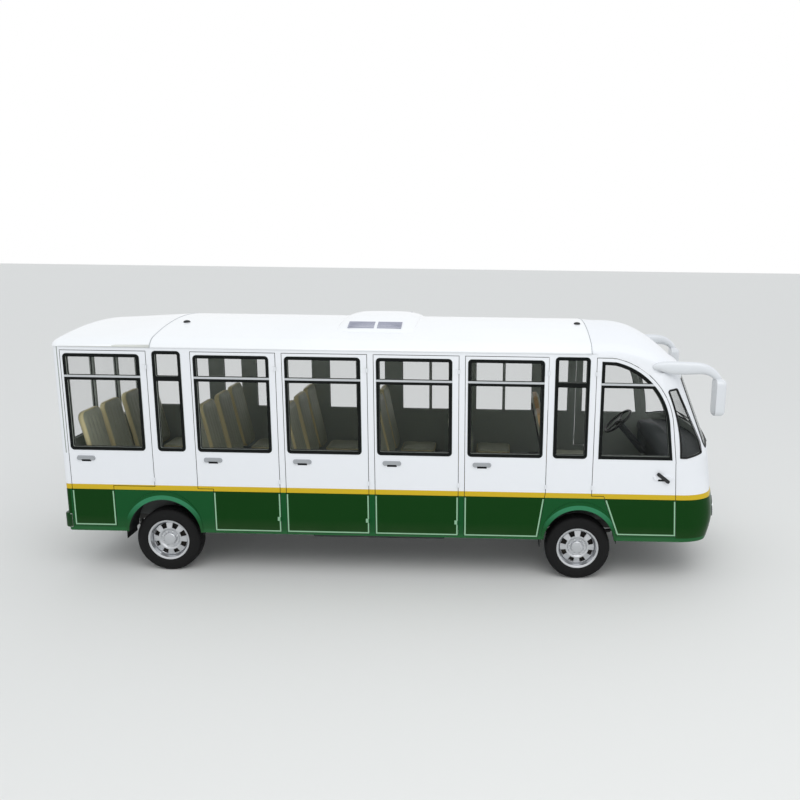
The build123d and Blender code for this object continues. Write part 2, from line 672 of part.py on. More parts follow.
# Tail lamps on the rear wall, one upright cluster each side
TAIL_Y, TAIL_WIDTH, TAIL_LOW, TAIL_HIGH, TAIL_PROUD = 870, 90, 880, 1180, 16
with BuildPart() as tail_lamps:
    with BuildSketch(front_plane(BODY_REAR - SEAT_GAP)):
        with Locations((-TAIL_Y, (TAIL_LOW + TAIL_HIGH) / 2), (TAIL_Y, (TAIL_LOW + TAIL_HIGH) / 2)):
            RectangleRounded(TAIL_WIDTH, TAIL_HIGH - TAIL_LOW, 30)
    extrude(amount=-TAIL_PROUD)
    fillet(tail_lamps.faces().group_by(Axis.X)[0].edges(), 6)
tail_lamps.part.label = "tail_lamps"
export_step(tail_lamps.part, "parts/tail_lamps.step")

# Mirrors on curved arms from the corners of the brow
HEAD_X, HEAD_Y, HEAD_Z, HEAD_WIDTH, HEAD_HEIGHT, HEAD_DEPTH = 1262, 1010, 1915, 190, 350, 96
ARM_RADIUS = 22
ARM_POINTS = [(625, -975, 2170), (760, -985, 2215), (1090, -1010, 2215), (1262, -1010, 2160),
              (1262, -1010, 2080)]
GLASS_PLATE = 5
with BuildPart() as mirror_drawn:
    with BuildLine() as arm_path:
        FilletPolyline(*[(at(x), y, z) for x, y, z in ARM_POINTS], radius=70)
    with BuildSketch(Plane(arm_path.line @ 0, z_dir=arm_path.line % 0)):
        Circle(ARM_RADIUS)
    sweep()
    with BuildSketch(side_plane(HALF_WIDTH - PANEL / 2)):
        with Locations((at(640), 2172)):
            SlotOverall(110, 56)
    extrude(amount=PANEL / 2 + 14)
    with BuildSketch(front_plane(HEAD_X - HEAD_DEPTH / 2)):
        with Locations((-HEAD_Y, HEAD_Z)):
            RectangleRounded(HEAD_WIDTH, HEAD_HEIGHT, 60)
    extrude(amount=HEAD_DEPTH)
    fillet(mirror_drawn.faces().filter_by(Axis.X).sort_by(Axis.X)[-1].edges(), 34)
    with BuildSketch(front_plane(HEAD_X - HEAD_DEPTH / 2)):
        with Locations((-HEAD_Y, HEAD_Z)):
            RectangleRounded(HEAD_WIDTH - 20, HEAD_HEIGHT - 20, 50)
    extrude(amount=GLASS_PLATE + 3, mode=Mode.SUBTRACT)
with BuildPart() as mirror_plate:
    with BuildSketch(front_plane(HEAD_X - HEAD_DEPTH / 2 + 3 - SEAT_GAP)):
        with Locations((-HEAD_Y, HEAD_Z), (HEAD_Y, HEAD_Z)):
            RectangleRounded(HEAD_WIDTH - 20 - 2 * SEAT_GAP, HEAD_HEIGHT - 20 - 2 * SEAT_GAP, 50)
    extrude(amount=GLASS_PLATE)
with BuildPart() as mirrors:
    add(mirror_drawn.part)
    add(front_panel.part, mode=Mode.SUBTRACT)
    add(mirror(mirrors.part, about=Plane.XZ))
mirrors.part.label = "mirrors"
export_step(mirrors.part, "parts/mirrors.step")
mirror_plate.part.label = "mirror_glass"
export_step(mirror_plate.part, "parts/mirror_glass.step")

# Wipers, lying on the windscreen
WIPER_Z, WIPER_PIVOTS, ARM_LENGTH, BLADE_START, BLADE_END, BLADE_Z = 1328, (-360, 300), 300, 40, 440, 1392
wiper_skin = nose_solid(-14, NOSE[3:])
wiper_core = nose_solid(-SEAT_GAP, NOSE[3:])
blade_skin = nose_solid(-6, NOSE[3:])
blade_core = nose_solid(GLASS_INSET - SEAT_GAP, NOSE[3:])
with BuildPart() as wiper_arms:
    with BuildSketch(front_plane(1100)):
        for y in WIPER_PIVOTS:
            with Locations((y, WIPER_Z)):
                Circle(17)
            Polygon((y, WIPER_Z - 8), (y, WIPER_Z + 8), (y + ARM_LENGTH, BLADE_Z + 8),
                    (y + ARM_LENGTH, BLADE_Z - 4), align=None)
    extrude(amount=500)
    add(wiper_skin, mode=Mode.INTERSECT)
    add(wiper_core, mode=Mode.SUBTRACT)
with BuildPart() as wiper_blades:
    with BuildSketch(front_plane(1100)):
        for y in WIPER_PIVOTS:
            Polygon((y + BLADE_START, BLADE_Z - 6), (y + BLADE_START, BLADE_Z + 6),
                    (y + BLADE_END, BLADE_Z + 18), (y + BLADE_END, BLADE_Z + 6), align=None)
    extrude(amount=500)
    add(blade_skin, mode=Mode.INTERSECT)
    add(blade_core, mode=Mode.SUBTRACT)
with BuildPart() as wipers:
    add(wiper_arms.part)
    add(wiper_blades.part)
wipers.part.label = "wipers"
export_step(wipers.part, "parts/wipers.step")

# Dashboard with its steering column
WHEEL_CENTRE = (548, 430, 1322)     # station, Y and Z of the steering wheel
COLUMN_TILT = 49                    # column above the horizontal, in degrees
STEERING_RADIUS, STEERING_GRIP = 192, 15
column_dir = (-cos(radians(COLUMN_TILT)), 0, sin(radians(COLUMN_TILT)))
column_origin = (at(WHEEL_CENTRE[0]), WHEEL_CENTRE[1], WHEEL_CENTRE[2])
column_plane = Plane(column_origin, x_dir=(0, 1, 0), z_dir=column_dir)
DASH_HALF = 890
dash_core = nose_solid(PANEL + SEAT_GAP, NOSE[2:4])
with BuildPart() as dashboard:
    with BuildSketch(side_plane(-DASH_HALF)):
        with BuildLine():
            Polyline((at(1400), 880), (at(880), 880), (at(860), 920), (at(860), 1150))
            ThreePointArc((at(860), 1150), (at(885), 1214), (at(955), 1238))
            Polyline((at(955), 1238), (at(1400), 1262), (at(1400), 880))
        make_face()
    extrude(amount=2 * DASH_HALF)
    add(dash_core, mode=Mode.INTERSECT)
    with BuildSketch(side_plane(-WHEEL_CENTRE[1] - 170)):
        outline([(1000, 1200), (870, 1100), (790, 1225), (810, 1300), (950, 1318), (1060, 1240)])
    extrude(amount=340)
    with BuildSketch(column_plane.offset(-46)):
        Circle(38)
    extrude(amount=-420)
dashboard.part.label = "dashboard"
export_step(dashboard.part, "parts/dashboard.step")

with BuildPart() as steering_wheel:
    with BuildSketch(Plane(column_plane.origin, x_dir=column_plane.x_dir, z_dir=column_plane.y_dir)):
        with Locations((STEERING_RADIUS - STEERING_GRIP, 0)):
            Circle(STEERING_GRIP)
    revolve(axis=Axis(column_plane.origin, column_plane.z_dir))
    with BuildSketch(column_plane.offset(-34)):
        Circle(48)
    extrude(amount=40)
    with BuildSketch(column_plane.offset(-12)):
        for turn in (90, 210, 330):
            with Locations(Rot(0, 0, turn) * Pos((STEERING_RADIUS - STEERING_GRIP) / 2, 0)):
                Rectangle(STEERING_RADIUS - STEERING_GRIP, 30)
    extrude(amount=14)
    with BuildSketch(column_plane.offset(-45.7)):
        Circle(20)
    extrude(amount=20)
steering_wheel.part.label = "steering_wheel"
export_step(steering_wheel.part, "parts/steering_wheel.step")

# Flat floor with a notch over each wheel
FLOOR_HALF = HALF_WIDTH - WALL - SEAT_GAP
BOX_WALL = 12
WHEEL_BOXES = [(0, 410, 540), (-WHEELBASE, 425, 640)]       # station, half length, inner side
FLOOR_FRONT, TOE_FRONT, TOE_HALF = 945, 1100, 880


def box_plan(station, half_length, inner, outer):
    """Adds the plan of both wheel boxes at one axle."""
    for side in (-1, 1):
        with Locations((at(station), side * (inner + outer) / 2)):
            Rectangle(2 * half_length, outer - inner)


with BuildPart() as floor:
    with BuildSketch(Plane.XY.offset(FLOOR_BOTTOM)):
        rear_end, front_end = at(BODY_REAR + REAR_WALL) + SEAT_GAP, at(FLOOR_FRONT)
        with Locations(((rear_end + front_end) / 2, 0)):
            Rectangle(front_end - rear_end, 2 * FLOOR_HALF)
        with Locations(((front_end + at(TOE_FRONT)) / 2, 0)):
            Rectangle(TOE_FRONT - FLOOR_FRONT, 2 * TOE_HALF)
    extrude(amount=FLOOR)
    with BuildSketch(Plane.XY.offset(FLOOR_BOTTOM)):
        for station, half_length, inner in WHEEL_BOXES:
            box_plan(station, half_length, inner, HALF_WIDTH)
    extrude(amount=FLOOR, mode=Mode.SUBTRACT)
floor.part.label = "floor"
export_step(floor.part, "parts/floor.step")

# Wheel boxes, standing on the floor round its notches and open to the wheels
BOX_BOTTOM = FLOOR_BOTTOM + FLOOR
with BuildPart() as wheel_boxes:
    with BuildSketch(Plane.XY.offset(BOX_BOTTOM)):
        for station, half_length, inner in WHEEL_BOXES:
            box_plan(station, half_length + BOX_WALL, inner - BOX_WALL, FLOOR_HALF)
    extrude(amount=BOX_TOP - BOX_BOTTOM)
    with BuildSketch(Plane.XY.offset(BOX_BOTTOM)):
        for station, half_length, inner in WHEEL_BOXES:
            box_plan(station, half_length, inner, HALF_WIDTH)
    extrude(amount=BOX_TOP - BOX_BOTTOM - BOX_WALL, mode=Mode.SUBTRACT)
wheel_boxes.part.label = "wheel_boxes"
export_step(wheel_boxes.part, "parts/wheel_boxes.step")

# Seats: two in the front row, four across behind
SEAT_BASE, CUSHION, CUSHION_LENGTH, BACK_HEIGHT, BACK = 840, 95, 440, 780, 85
RECLINE = 12
SEAT_WIDTH = 428
REST_Z = 1500
SEAT_YS = [[-430, 430]] + [[-690, -245, 245, 690]] * (len(ROWS) - 1)
LEG_YS = (150, 500)
TUBE = 30


def back_x(station, z):
    """Middle of a back rest at a height."""
    return at(station) + (REST_Z - z) * sin(radians(RECLINE)) / cos(radians(RECLINE))


with BuildPart() as seat_frames:
    for station, seats in zip(ROWS, SEAT_YS):
        front_x = at(station) + 170 + CUSHION_LENGTH - 60
        rear_x = at(station) + 230
        reach = max(seats) + SEAT_WIDTH / 2 - 40
        for x in (front_x, rear_x):
            with BuildSketch(Plane.XZ.offset(-reach)):
                with Locations((x, SEAT_BASE - SEAT_GAP - TUBE / 2)):
                    RectangleRounded(TUBE, TUBE, 8)
            extrude(amount=2 * reach)
            with BuildSketch(Plane.XY.offset(FLOOR_BOTTOM + FLOOR)):
                for y in LEG_YS:
                    with Locations((x, y), (x, -y)):
                        Rectangle(TUBE, TUBE)
            extrude(amount=SEAT_BASE - SEAT_GAP - TUBE / 2 - FLOOR_BOTTOM - FLOOR)
        post_x = back_x(station, SEAT_BASE) - BACK / 2 - 14
        with BuildSketch(Plane.XY.offset(SEAT_BASE - SEAT_GAP - TUBE)):
            for y in LEG_YS:
                with Locations(((front_x + post_x) / 2, y), ((front_x + post_x) / 2, -y)):
                    Rectangle(front_x - post_x, TUBE)
        extrude(amount=TUBE)
        lean = Plane((back_x(station, SEAT_BASE), 0, SEAT_BASE), x_dir=(0, 1, 0),
                     z_dir=(-sin(radians(RECLINE)), 0, cos(radians(RECLINE))))
        with BuildSketch(lean.offset(-TUBE)):
            for y in LEG_YS:
                with Locations((y, BACK / 2 + SEAT_GAP + 8), (-y, BACK / 2 + SEAT_GAP + 8)):
                    Rectangle(TUBE, 16)
        extrude(amount=BACK_HEIGHT - 60)
seat_frames.part.label = "seat_frames"
export_step(seat_frames.part, "parts/seat_frames.step")

with BuildPart() as seat_cushions:
    for station, seats in zip(ROWS, SEAT_YS):
        middle_x = back_x(station, SEAT_BASE + CUSHION) + BACK / 2 + 10 + CUSHION_LENGTH / 2
        with BuildSketch(Plane.XY.offset(SEAT_BASE)):
            for y in seats:
                with Locations((middle_x, y)):
                    RectangleRounded(CUSHION_LENGTH, SEAT_WIDTH, 40)
        extrude(amount=CUSHION)
seat_cushions.part.label = "seat_cushions"
export_step(seat_cushions.part, "parts/seat_cushions.step")

BACK_LIFT = 45             # the back rests start this far above the seat frame
with BuildPart() as seat_backs:
    for station, seats in zip(ROWS, SEAT_YS):
        foot = SEAT_BASE + BACK_LIFT
        lean = Plane((back_x(station, foot), 0, foot), x_dir=(0, 1, 0),
                     z_dir=(-cos(radians(RECLINE)), 0, -sin(radians(RECLINE))))
        with BuildSketch(lean.offset(-BACK / 2)):
            for y in seats:
                with Locations((y, -BACK_HEIGHT / 2)):
                    RectangleRounded(SEAT_WIDTH, BACK_HEIGHT, 90)
        extrude(amount=BACK)
seat_backs.part.label = "seat_backs"
export_step(seat_backs.part, "parts/seat_backs.step")

# Ladder frame with a crosspiece at each outrigger
RAIL_HEIGHT = FLOOR_BOTTOM - RAIL_BOTTOM
FRAME_REAR, FRAME_FRONT = -5030, 1080
CROSS_HEIGHT, CROSS_WIDTH = 60, 50
CROSS_STATIONS = [-5000, -4480, -3860, -3300, -2820, -2320, -1820, -1320, -820, -300, 300, 700, 1050]
TOW_FRONT, TOW_REAR = 1130, -5078      # bores of the tow lugs at the ends of the frame
TOW_THICK, TOW_Z, TOW_HALF, TOW_BORE = 24, 406, 32, 14
JACK_X, JACK_RADIUS, JACK_PAD = -700, 45, 8
OUTRIGGERS = [-5000, -4600, -3600, -2912, -2040, -1162, -440, 460, 900]
with BuildPart() as chassis_frame:
    with BuildSketch(Plane.XY.offset(RAIL_BOTTOM)):
        frame_middle = at((FRAME_REAR + FRAME_FRONT) / 2)
        with Locations((frame_middle, RAIL_Y), (frame_middle, -RAIL_Y)):
            Rectangle(FRAME_FRONT - FRAME_REAR, RAIL_WIDTH)
    extrude(amount=RAIL_HEIGHT)
    for station in (FRAME_REAR + CROSS_WIDTH, FRAME_FRONT - CROSS_WIDTH):
        with BuildSketch(Plane.XY.offset(RAIL_BOTTOM)):
            with Locations((at(station), 0)):
                Rectangle(2 * CROSS_WIDTH, 2 * RAIL_Y)
        extrude(amount=RAIL_HEIGHT)
    with BuildSketch(Plane.XY.offset(FLOOR_BOTTOM - CROSS_HEIGHT)):
        for station in CROSS_STATIONS + OUTRIGGERS:
            with Locations((at(station), 0)):
                Rectangle(CROSS_WIDTH, 2 * RAIL_Y)
    extrude(amount=CROSS_HEIGHT)
    with BuildSketch(Plane.XY.offset(RAIL_BOTTOM - JACK_PAD)):
        with Locations((at(JACK_X), RAIL_Y), (at(JACK_X), -RAIL_Y)):
            Circle(JACK_RADIUS)
    extrude(amount=JACK_PAD)
    for station, tip in ((FRAME_FRONT, TOW_FRONT), (FRAME_REAR, TOW_REAR)):
        with BuildSketch(side_plane(-TOW_THICK / 2)):
            block(min(station - TOW_HALF, tip - TOW_HALF), max(station + TOW_HALF, tip + TOW_HALF),
                  TOW_Z - TOW_HALF, TOW_Z + TOW_HALF, TOW_HALF - 2)
        extrude(amount=TOW_THICK)
        with BuildSketch(side_plane(-TOW_THICK)):
            with Locations((at(tip), TOW_Z)):
                Circle(TOW_BORE)
        extrude(amount=2 * TOW_THICK, mode=Mode.SUBTRACT)
chassis_frame.part.label = "chassis_frame"
export_step(chassis_frame.part, "parts/chassis_frame.step")

# Outriggers from the rails to the side walls, under the floor
with BuildPart() as outriggers:
    with BuildSketch(Plane.XY.offset(FLOOR_BOTTOM - CROSS_HEIGHT)):
        for station in OUTRIGGERS:
            box_plan(station, CROSS_WIDTH / 2, RAIL_Y + RAIL_WIDTH / 2, FLOOR_HALF)
    extrude(amount=CROSS_HEIGHT)
outriggers.part.label = "outriggers"
export_step(outriggers.part, "parts/outriggers.step")

# Leaf springs: four leaves under each rail, main leaf on top
LEAF, LEAF_CURVE, LEAF_WIDTH = 9, 3200, 56
LEAF_LENGTHS = (480, 390, 290, 190)
SPRING_EYE = 15
FRONT_BEAM_TOP, REAR_TUBE = 290, 38
SPRINGS = [                # station, underside of the shortest leaf, top of the main leaf
    (0, FRONT_BEAM_TOP + SEAT_GAP),
    (-WHEELBASE, TYRE_RADIUS - REAR_TUBE - SEAT_GAP - LEAF * len(LEAF_LENGTHS)),
]


def leaf_z(x, low, index):
    """Height of a leaf's lower face at a distance from the axle."""
    count = len(LEAF_LENGTHS) - index
    radius = LEAF_CURVE + count * LEAF
    return low + (count - 1) * LEAF + radius - sqrt(radius ** 2 - x ** 2)


with BuildPart() as springs:
    for station, low in SPRINGS:
        for index, half in enumerate(LEAF_LENGTHS):
            base, crest = leaf_z(0, low, index), leaf_z(half, low, index)
            with BuildSketch(side_plane(-RAIL_Y - LEAF_WIDTH / 2), side_plane(RAIL_Y - LEAF_WIDTH / 2)):
                with BuildLine():
                    ThreePointArc((at(station - half), crest), (at(station), base), (at(station + half), crest))
                    Line((at(station + half), crest), (at(station + half), crest + LEAF))
                    ThreePointArc((at(station + half), crest + LEAF), (at(station), base + LEAF),
                                  (at(station - half), crest + LEAF))
                    Line((at(station - half), crest + LEAF), (at(station - half), crest))
                make_face()
            extrude(amount=LEAF_WIDTH)
        eye_z = leaf_z(LEAF_LENGTHS[0], low, 0) + LEAF / 2
        with BuildSketch(side_plane(-RAIL_Y - LEAF_WIDTH / 2), side_plane(RAIL_Y - LEAF_WIDTH / 2)):
            for end in (-LEAF_LENGTHS[0], LEAF_LENGTHS[0]):
                with Locations((at(station + end), eye_z)):
                    Circle(SPRING_EYE)
        extrude(amount=LEAF_WIDTH)
        with BuildSketch(Plane.XY.offset(eye_z)):
            for end in (-LEAF_LENGTHS[0], LEAF_LENGTHS[0]):
                with Locations((at(station + end), RAIL_Y), (at(station + end), -RAIL_Y)):
                    Rectangle(20, LEAF_WIDTH)
        extrude(amount=RAIL_BOTTOM - eye_z)
springs.part.label = "springs"
export_step(springs.part, "parts/springs.step")

# Battery box slung under the rails
BATTERY_REAR, BATTERY_FRONT, BATTERY_HALF, BATTERY_LOW = -2760, -1360, 455, 215
with BuildPart() as battery_box:
    with BuildSketch(Plane.XY.offset(BATTERY_LOW)):
        with Locations((at((BATTERY_REAR + BATTERY_FRONT) / 2), 0)):
            RectangleRounded(BATTERY_FRONT - BATTERY_REAR, 2 * BATTERY_HALF, 30)
    extrude(amount=RAIL_BOTTOM - BATTERY_LOW)
battery_box.part.label = "battery_box"
export_step(battery_box.part, "parts/battery_box.step")

# Front axle: a beam with a fork and kingpin at each end, and the knuckles that turn on them
STUB_RADIUS, STUB_END = 22, 872
PIN_RADIUS, BOSS_RADIUS, BOSS_HALF, JAW = 12, 28, 52, 18
BEARING = 0.4
BEAM_WIDTH, BEAM_HEIGHT = 64, 62
with BuildPart() as front_axle:
    with BuildSketch(Plane.XY.offset(FRONT_BEAM_TOP - BEAM_HEIGHT)):
        with Locations((at(0), 0)):
            Rectangle(BEAM_WIDTH, 2 * (KINGPIN_Y - BOSS_RADIUS - 8))
    extrude(amount=BEAM_HEIGHT)
    with BuildSketch(Plane.XY.offset(TYRE_RADIUS - BOSS_HALF - BEARING - JAW)):
        for side in (-1, 1):
            with Locations((at(0), side * (KINGPIN_Y - BOSS_RADIUS - 8 - 16))):
                Rectangle(BEAM_WIDTH, 32)
    extrude(amount=2 * (BOSS_HALF + BEARING + JAW))
    for level in (TYRE_RADIUS - BOSS_HALF - BEARING - JAW, TYRE_RADIUS + BOSS_HALF + BEARING):
        with BuildSketch(Plane.XY.offset(level)):
            for side in (-1, 1):
                with Locations((at(0), side * KINGPIN_Y)):
                    Circle(BOSS_RADIUS)
                with Locations((at(0), side * (KINGPIN_Y - 20))):
                    Rectangle(2 * BOSS_RADIUS, 44)
        extrude(amount=JAW)
    with BuildSketch(Plane.XY.offset(TYRE_RADIUS - BOSS_HALF - BEARING - JAW)):
        with Locations((at(0), KINGPIN_Y), (at(0), -KINGPIN_Y)):
            Circle(PIN_RADIUS)
    extrude(amount=2 * (BOSS_HALF + BEARING + JAW))
front_axle.part.label = "front_axle"
export_step(front_axle.part, "parts/front_axle.step")

with BuildPart() as knuckle_right:
    with BuildSketch(Plane.XY.offset(TYRE_RADIUS - BOSS_HALF)):
        with Locations((at(0), -KINGPIN_Y)):
            Circle(BOSS_RADIUS)
    extrude(amount=2 * BOSS_HALF)
    with BuildSketch(side_plane(KINGPIN_Y + 10)):
        with Locations((at(0), TYRE_RADIUS)):
            Circle(STUB_RADIUS)
    extrude(amount=STUB_END - KINGPIN_Y - 10)
    with BuildSketch(side_plane(KINGPIN_Y + BOSS_RADIUS + 4)):
        with Locations((at(0), TYRE_RADIUS)):
            Circle(60)
    extrude(amount=8)
    with BuildSketch(Plane.XY.offset(TYRE_RADIUS - BOSS_HALF)):
        with Locations((at(0), -KINGPIN_Y)):
            Circle(PIN_RADIUS + BEARING)
    extrude(amount=2 * BOSS_HALF, mode=Mode.SUBTRACT)
knuckle_right.part.label = "knuckle_right"
export_step(knuckle_right.part, "parts/knuckle_right.step")
with BuildPart() as knuckle_left:
    add(mirror(knuckle_right.part, about=Plane.XZ))
knuckle_left.part.label = "knuckle_left"
export_step(knuckle_left.part, "parts/knuckle_left.step")

# Rear axle with its drive motor
MOTOR_RADIUS, MOTOR_LENGTH, MOTOR_AHEAD = 88, 300, 170
with BuildPart() as rear_axle:
    with BuildSketch(side_plane(-KINGPIN_Y - 24)):
        with Locations((at(-WHEELBASE), TYRE_RADIUS)):
            Circle(REAR_TUBE)
    extrude(amount=2 * (KINGPIN_Y + 24))
    with BuildSketch(side_plane(-STUB_END)):
        with Locations((at(-WHEELBASE), TYRE_RADIUS)):
            Circle(STUB_RADIUS)
    extrude(amount=2 * STUB_END)
    with BuildSketch(side_plane(-60)):
        with Locations((at(-WHEELBASE), TYRE_RADIUS)):
            Circle(MOTOR_RADIUS + 10)
    extrude(amount=150)
    with BuildSketch(side_plane(-150)):
        with Locations((at(-WHEELBASE + MOTOR_AHEAD), TYRE_RADIUS)):
            Circle(MOTOR_RADIUS)
    extrude(amount=MOTOR_LENGTH)
rear_axle.part.label = "rear_axle"
export_step(rear_axle.part, "parts/rear_axle.step")

# Wheels: rim barrel with flanges, dished disc with eight openings, hub with a cap
RIM_SKIN, FLANGE, HUB_RADIUS = 8, 14, 62
DISC_OUT, DISC = 34, 10          # outer face of the disc beyond the tyre's middle
HOLES, HOLE_RADIUS, HOLE_CIRCLE = 8, 17, 138
HUB_IN, HUB_OUT, HUB_BORE, CAP = 84, 62, STUB_RADIUS + BEARING, 14
DISH_IN, DISH_OUT, DISH, DISC_FALL = 110, 160, 16, 12     # ring where the disc stands out most
RIM_HALF, BARREL = 84, RIM_RADIUS - FLANGE - RIM_SKIN
with BuildPart() as wheel_drawn:
    with BuildSketch(Plane.XY) as wheel_section:
        with BuildLine():
            Polyline((BARREL, -RIM_HALF), (RIM_RADIUS, -RIM_HALF), (RIM_RADIUS, -RIM_HALF + 7),
                     (RIM_RADIUS - FLANGE, -RIM_HALF + 12), (RIM_RADIUS - FLANGE, RIM_HALF - 12),
                     (RIM_RADIUS, RIM_HALF - 7), (RIM_RADIUS, RIM_HALF),
                     (BARREL, RIM_HALF), (BARREL, -RIM_HALF))
        make_face()
        with BuildLine():
            Polyline((HUB_BORE, -HUB_IN), (HUB_RADIUS, -HUB_IN), (HUB_RADIUS, DISC_OUT - DISC),
                     (DISH_IN, DISC_OUT - DISC + DISH), (DISH_OUT, DISC_OUT - DISC + DISH),
                     (BARREL + 2, DISC_OUT - DISC - DISC_FALL), (BARREL + 2, DISC_OUT - DISC_FALL),
                     (DISH_OUT, DISC_OUT + DISH), (DISH_IN, DISC_OUT + DISH), (HUB_RADIUS, DISC_OUT),
                     (HUB_RADIUS - 10, HUB_OUT), (0, HUB_OUT), (0, HUB_OUT - CAP),
                     (HUB_BORE, HUB_OUT - CAP), (HUB_BORE, -HUB_IN))
        make_face()
    revolve(axis=Axis.Y)
    with BuildSketch(Plane.XZ.offset(-60)):
        with PolarLocations(HOLE_CIRCLE, HOLES):
            Circle(HOLE_RADIUS)
    extrude(amount=60, mode=Mode.SUBTRACT)
    with BuildSketch(Plane.XZ.offset(-60)):
        with PolarLocations(HOLE_CIRCLE, HOLES):
            Circle(HOLE_RADIUS)
    extrude(amount=-60, mode=Mode.SUBTRACT)

# Tyres: flat tread, sloping shoulders, bulged walls and a bead on the rim
TREAD_HALF, SHOULDER_RADIUS, BULGE_RADIUS, SHOULDER_HALF = 64, 306, 250, 86
BEAD_RADIUS, BEAD_HALF = RIM_RADIUS - FLANGE + 1, RIM_HALF - 14
with BuildPart() as tyre_drawn:
    with BuildSketch(Plane.XY) as tyre_section:
        with BuildLine():
            Polyline((BEAD_RADIUS, 0), (BEAD_RADIUS, BEAD_HALF), (BULGE_RADIUS, TYRE_WIDTH / 2),
                     (SHOULDER_RADIUS, SHOULDER_HALF), (TYRE_RADIUS, TREAD_HALF), (TYRE_RADIUS, 0),
                     (BEAD_RADIUS, 0))
        make_face()
        mirror(about=Plane.XZ)
    revolve(axis=Axis.Y)

for name, station, side in (("front_right", 0, -1), ("front_left", 0, 1),
                            ("rear_right", -WHEELBASE, -1), ("rear_left", -WHEELBASE, 1)):
    for kind, drawn in (("wheel", wheel_drawn), ("tyre", tyre_drawn)):
        shape = drawn.part if side == 1 else mirror(drawn.part, about=Plane.XZ)
        with BuildPart() as placed:
            with Locations((at(station), side * WHEEL_Y, TYRE_RADIUS)):
                add(shape)
        placed.part.label = f"{kind}_{name}"
        export_step(placed.part, f"parts/{kind}_{name}.step")
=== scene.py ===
# %% [markdown]
# # Dressing an electric sightseeing bus
# The solids of the bus come in as a fixed frame: walls, doors, glass, seats and running gear. This
# lesson gives every one of them a finish and adds the pieces that plain solids leave out, such as
# padded seats, rubber window seals, tyre tread, mud flaps and door levers. We load the frame first,
# because everything later takes its size and place from it.

# %% Load the frame
import json
from math import atan2, cos, pi, radians, sin

import bmesh
import bpy
from mathutils import Matrix, Vector
from mathutils.bvhtree import BVHTree


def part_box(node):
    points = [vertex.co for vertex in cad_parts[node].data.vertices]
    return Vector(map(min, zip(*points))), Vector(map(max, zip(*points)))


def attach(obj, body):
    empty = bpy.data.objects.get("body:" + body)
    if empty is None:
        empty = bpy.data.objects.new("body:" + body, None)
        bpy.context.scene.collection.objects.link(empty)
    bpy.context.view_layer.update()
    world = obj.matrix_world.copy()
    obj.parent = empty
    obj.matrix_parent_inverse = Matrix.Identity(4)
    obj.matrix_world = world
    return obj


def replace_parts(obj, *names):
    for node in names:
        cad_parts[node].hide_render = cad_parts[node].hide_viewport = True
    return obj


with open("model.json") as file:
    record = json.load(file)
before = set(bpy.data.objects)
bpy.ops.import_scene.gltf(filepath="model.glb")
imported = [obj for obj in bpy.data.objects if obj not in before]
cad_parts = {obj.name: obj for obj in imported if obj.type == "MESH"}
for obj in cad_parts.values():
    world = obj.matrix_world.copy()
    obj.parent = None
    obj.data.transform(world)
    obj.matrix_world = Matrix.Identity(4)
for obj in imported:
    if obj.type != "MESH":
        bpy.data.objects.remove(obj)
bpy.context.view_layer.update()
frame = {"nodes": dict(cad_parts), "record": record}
nodes = frame["nodes"]
scene = bpy.context.scene
MM = 0.001

# %% [markdown]
# ## The camera
# The photograph looks across the right side from above head height, with the bus a little left of
# the picture's middle. The camera was found by matching window corners and wheel centres, so it is
# given as a place, three angles and a focal length in pixels. A small sideways shift puts the
# optical axis where it is in the cropped photograph.

# %% Camera
PICTURE = 800                                    # width of the photograph in pixels
FOCAL = 810.63                                   # focal length in pixels
AXIS_U = 476.32                                  # column of the optical axis
SENSOR = 36.0                                    # width of the sensor in millimetres
CAMERA_BACK, CAMERA_Y, CAMERA_Z = 0.848, -8.549, 3.451   # metres behind the front axle, across and up
front_axle = sum(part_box("tyre_front_right"), Vector()).x / 2
yaw, pitch, roll = radians(-1.3454), radians(12.0224), radians(-0.6802)
forward = Vector((sin(yaw) * cos(pitch), cos(yaw) * cos(pitch), -sin(pitch)))
level = Vector((cos(yaw), -sin(yaw), 0))
down = forward.cross(level)
right = cos(roll) * level + sin(roll) * down
below = cos(roll) * down - sin(roll) * level

camera_data = bpy.data.cameras.new("camera")
camera_data.sensor_width = SENSOR
camera_data.lens = FOCAL / PICTURE * SENSOR
camera_data.shift_x = (PICTURE / 2 - AXIS_U) / PICTURE
camera_data.clip_end = 200
camera = bpy.data.objects.new("camera", camera_data)
turn = Matrix((right, -below, -forward)).transposed().to_4x4()
camera.matrix_world = Matrix.Translation((front_axle - CAMERA_BACK, CAMERA_Y, CAMERA_Z)) @ turn
scene.collection.objects.link(camera)
scene.camera = camera
print("front axle at", round(front_axle, 4), "lens", round(camera_data.lens, 2))

# %% [markdown]
# ## Small helpers
# A material is a graph of nodes. One function adds a node with its settings and fills its inputs,
# either with a number or with another node's output. Colours are written as they look on screen,
# in hex, and turned to the linear values that the renderer works in.

# %% Node and colour helpers
def linear(code, alpha=1.0):
    """Turns an sRGB hex colour into linear red, green, blue and alpha."""
    channels = [int(code[i:i + 2], 16) / 255 for i in (1, 3, 5)]
    return [c / 12.92 if c <= 0.04045 else ((c + 0.055) / 1.055) ** 2.4 for c in channels] + [alpha]


def add_node(material, kind, settings=None, inputs=None):
    """Adds a node, sets its own values, and sets or links its inputs."""
    made = material.node_tree.nodes.new("ShaderNode" + kind)
    for name, value in (settings or {}).items():
        setattr(made, name, value)
    for key, value in (inputs or {}).items():
        if isinstance(value, bpy.types.NodeSocket):
            material.node_tree.links.new(value, made.inputs[key])
        else:
            made.inputs[key].default_value = value
    return made


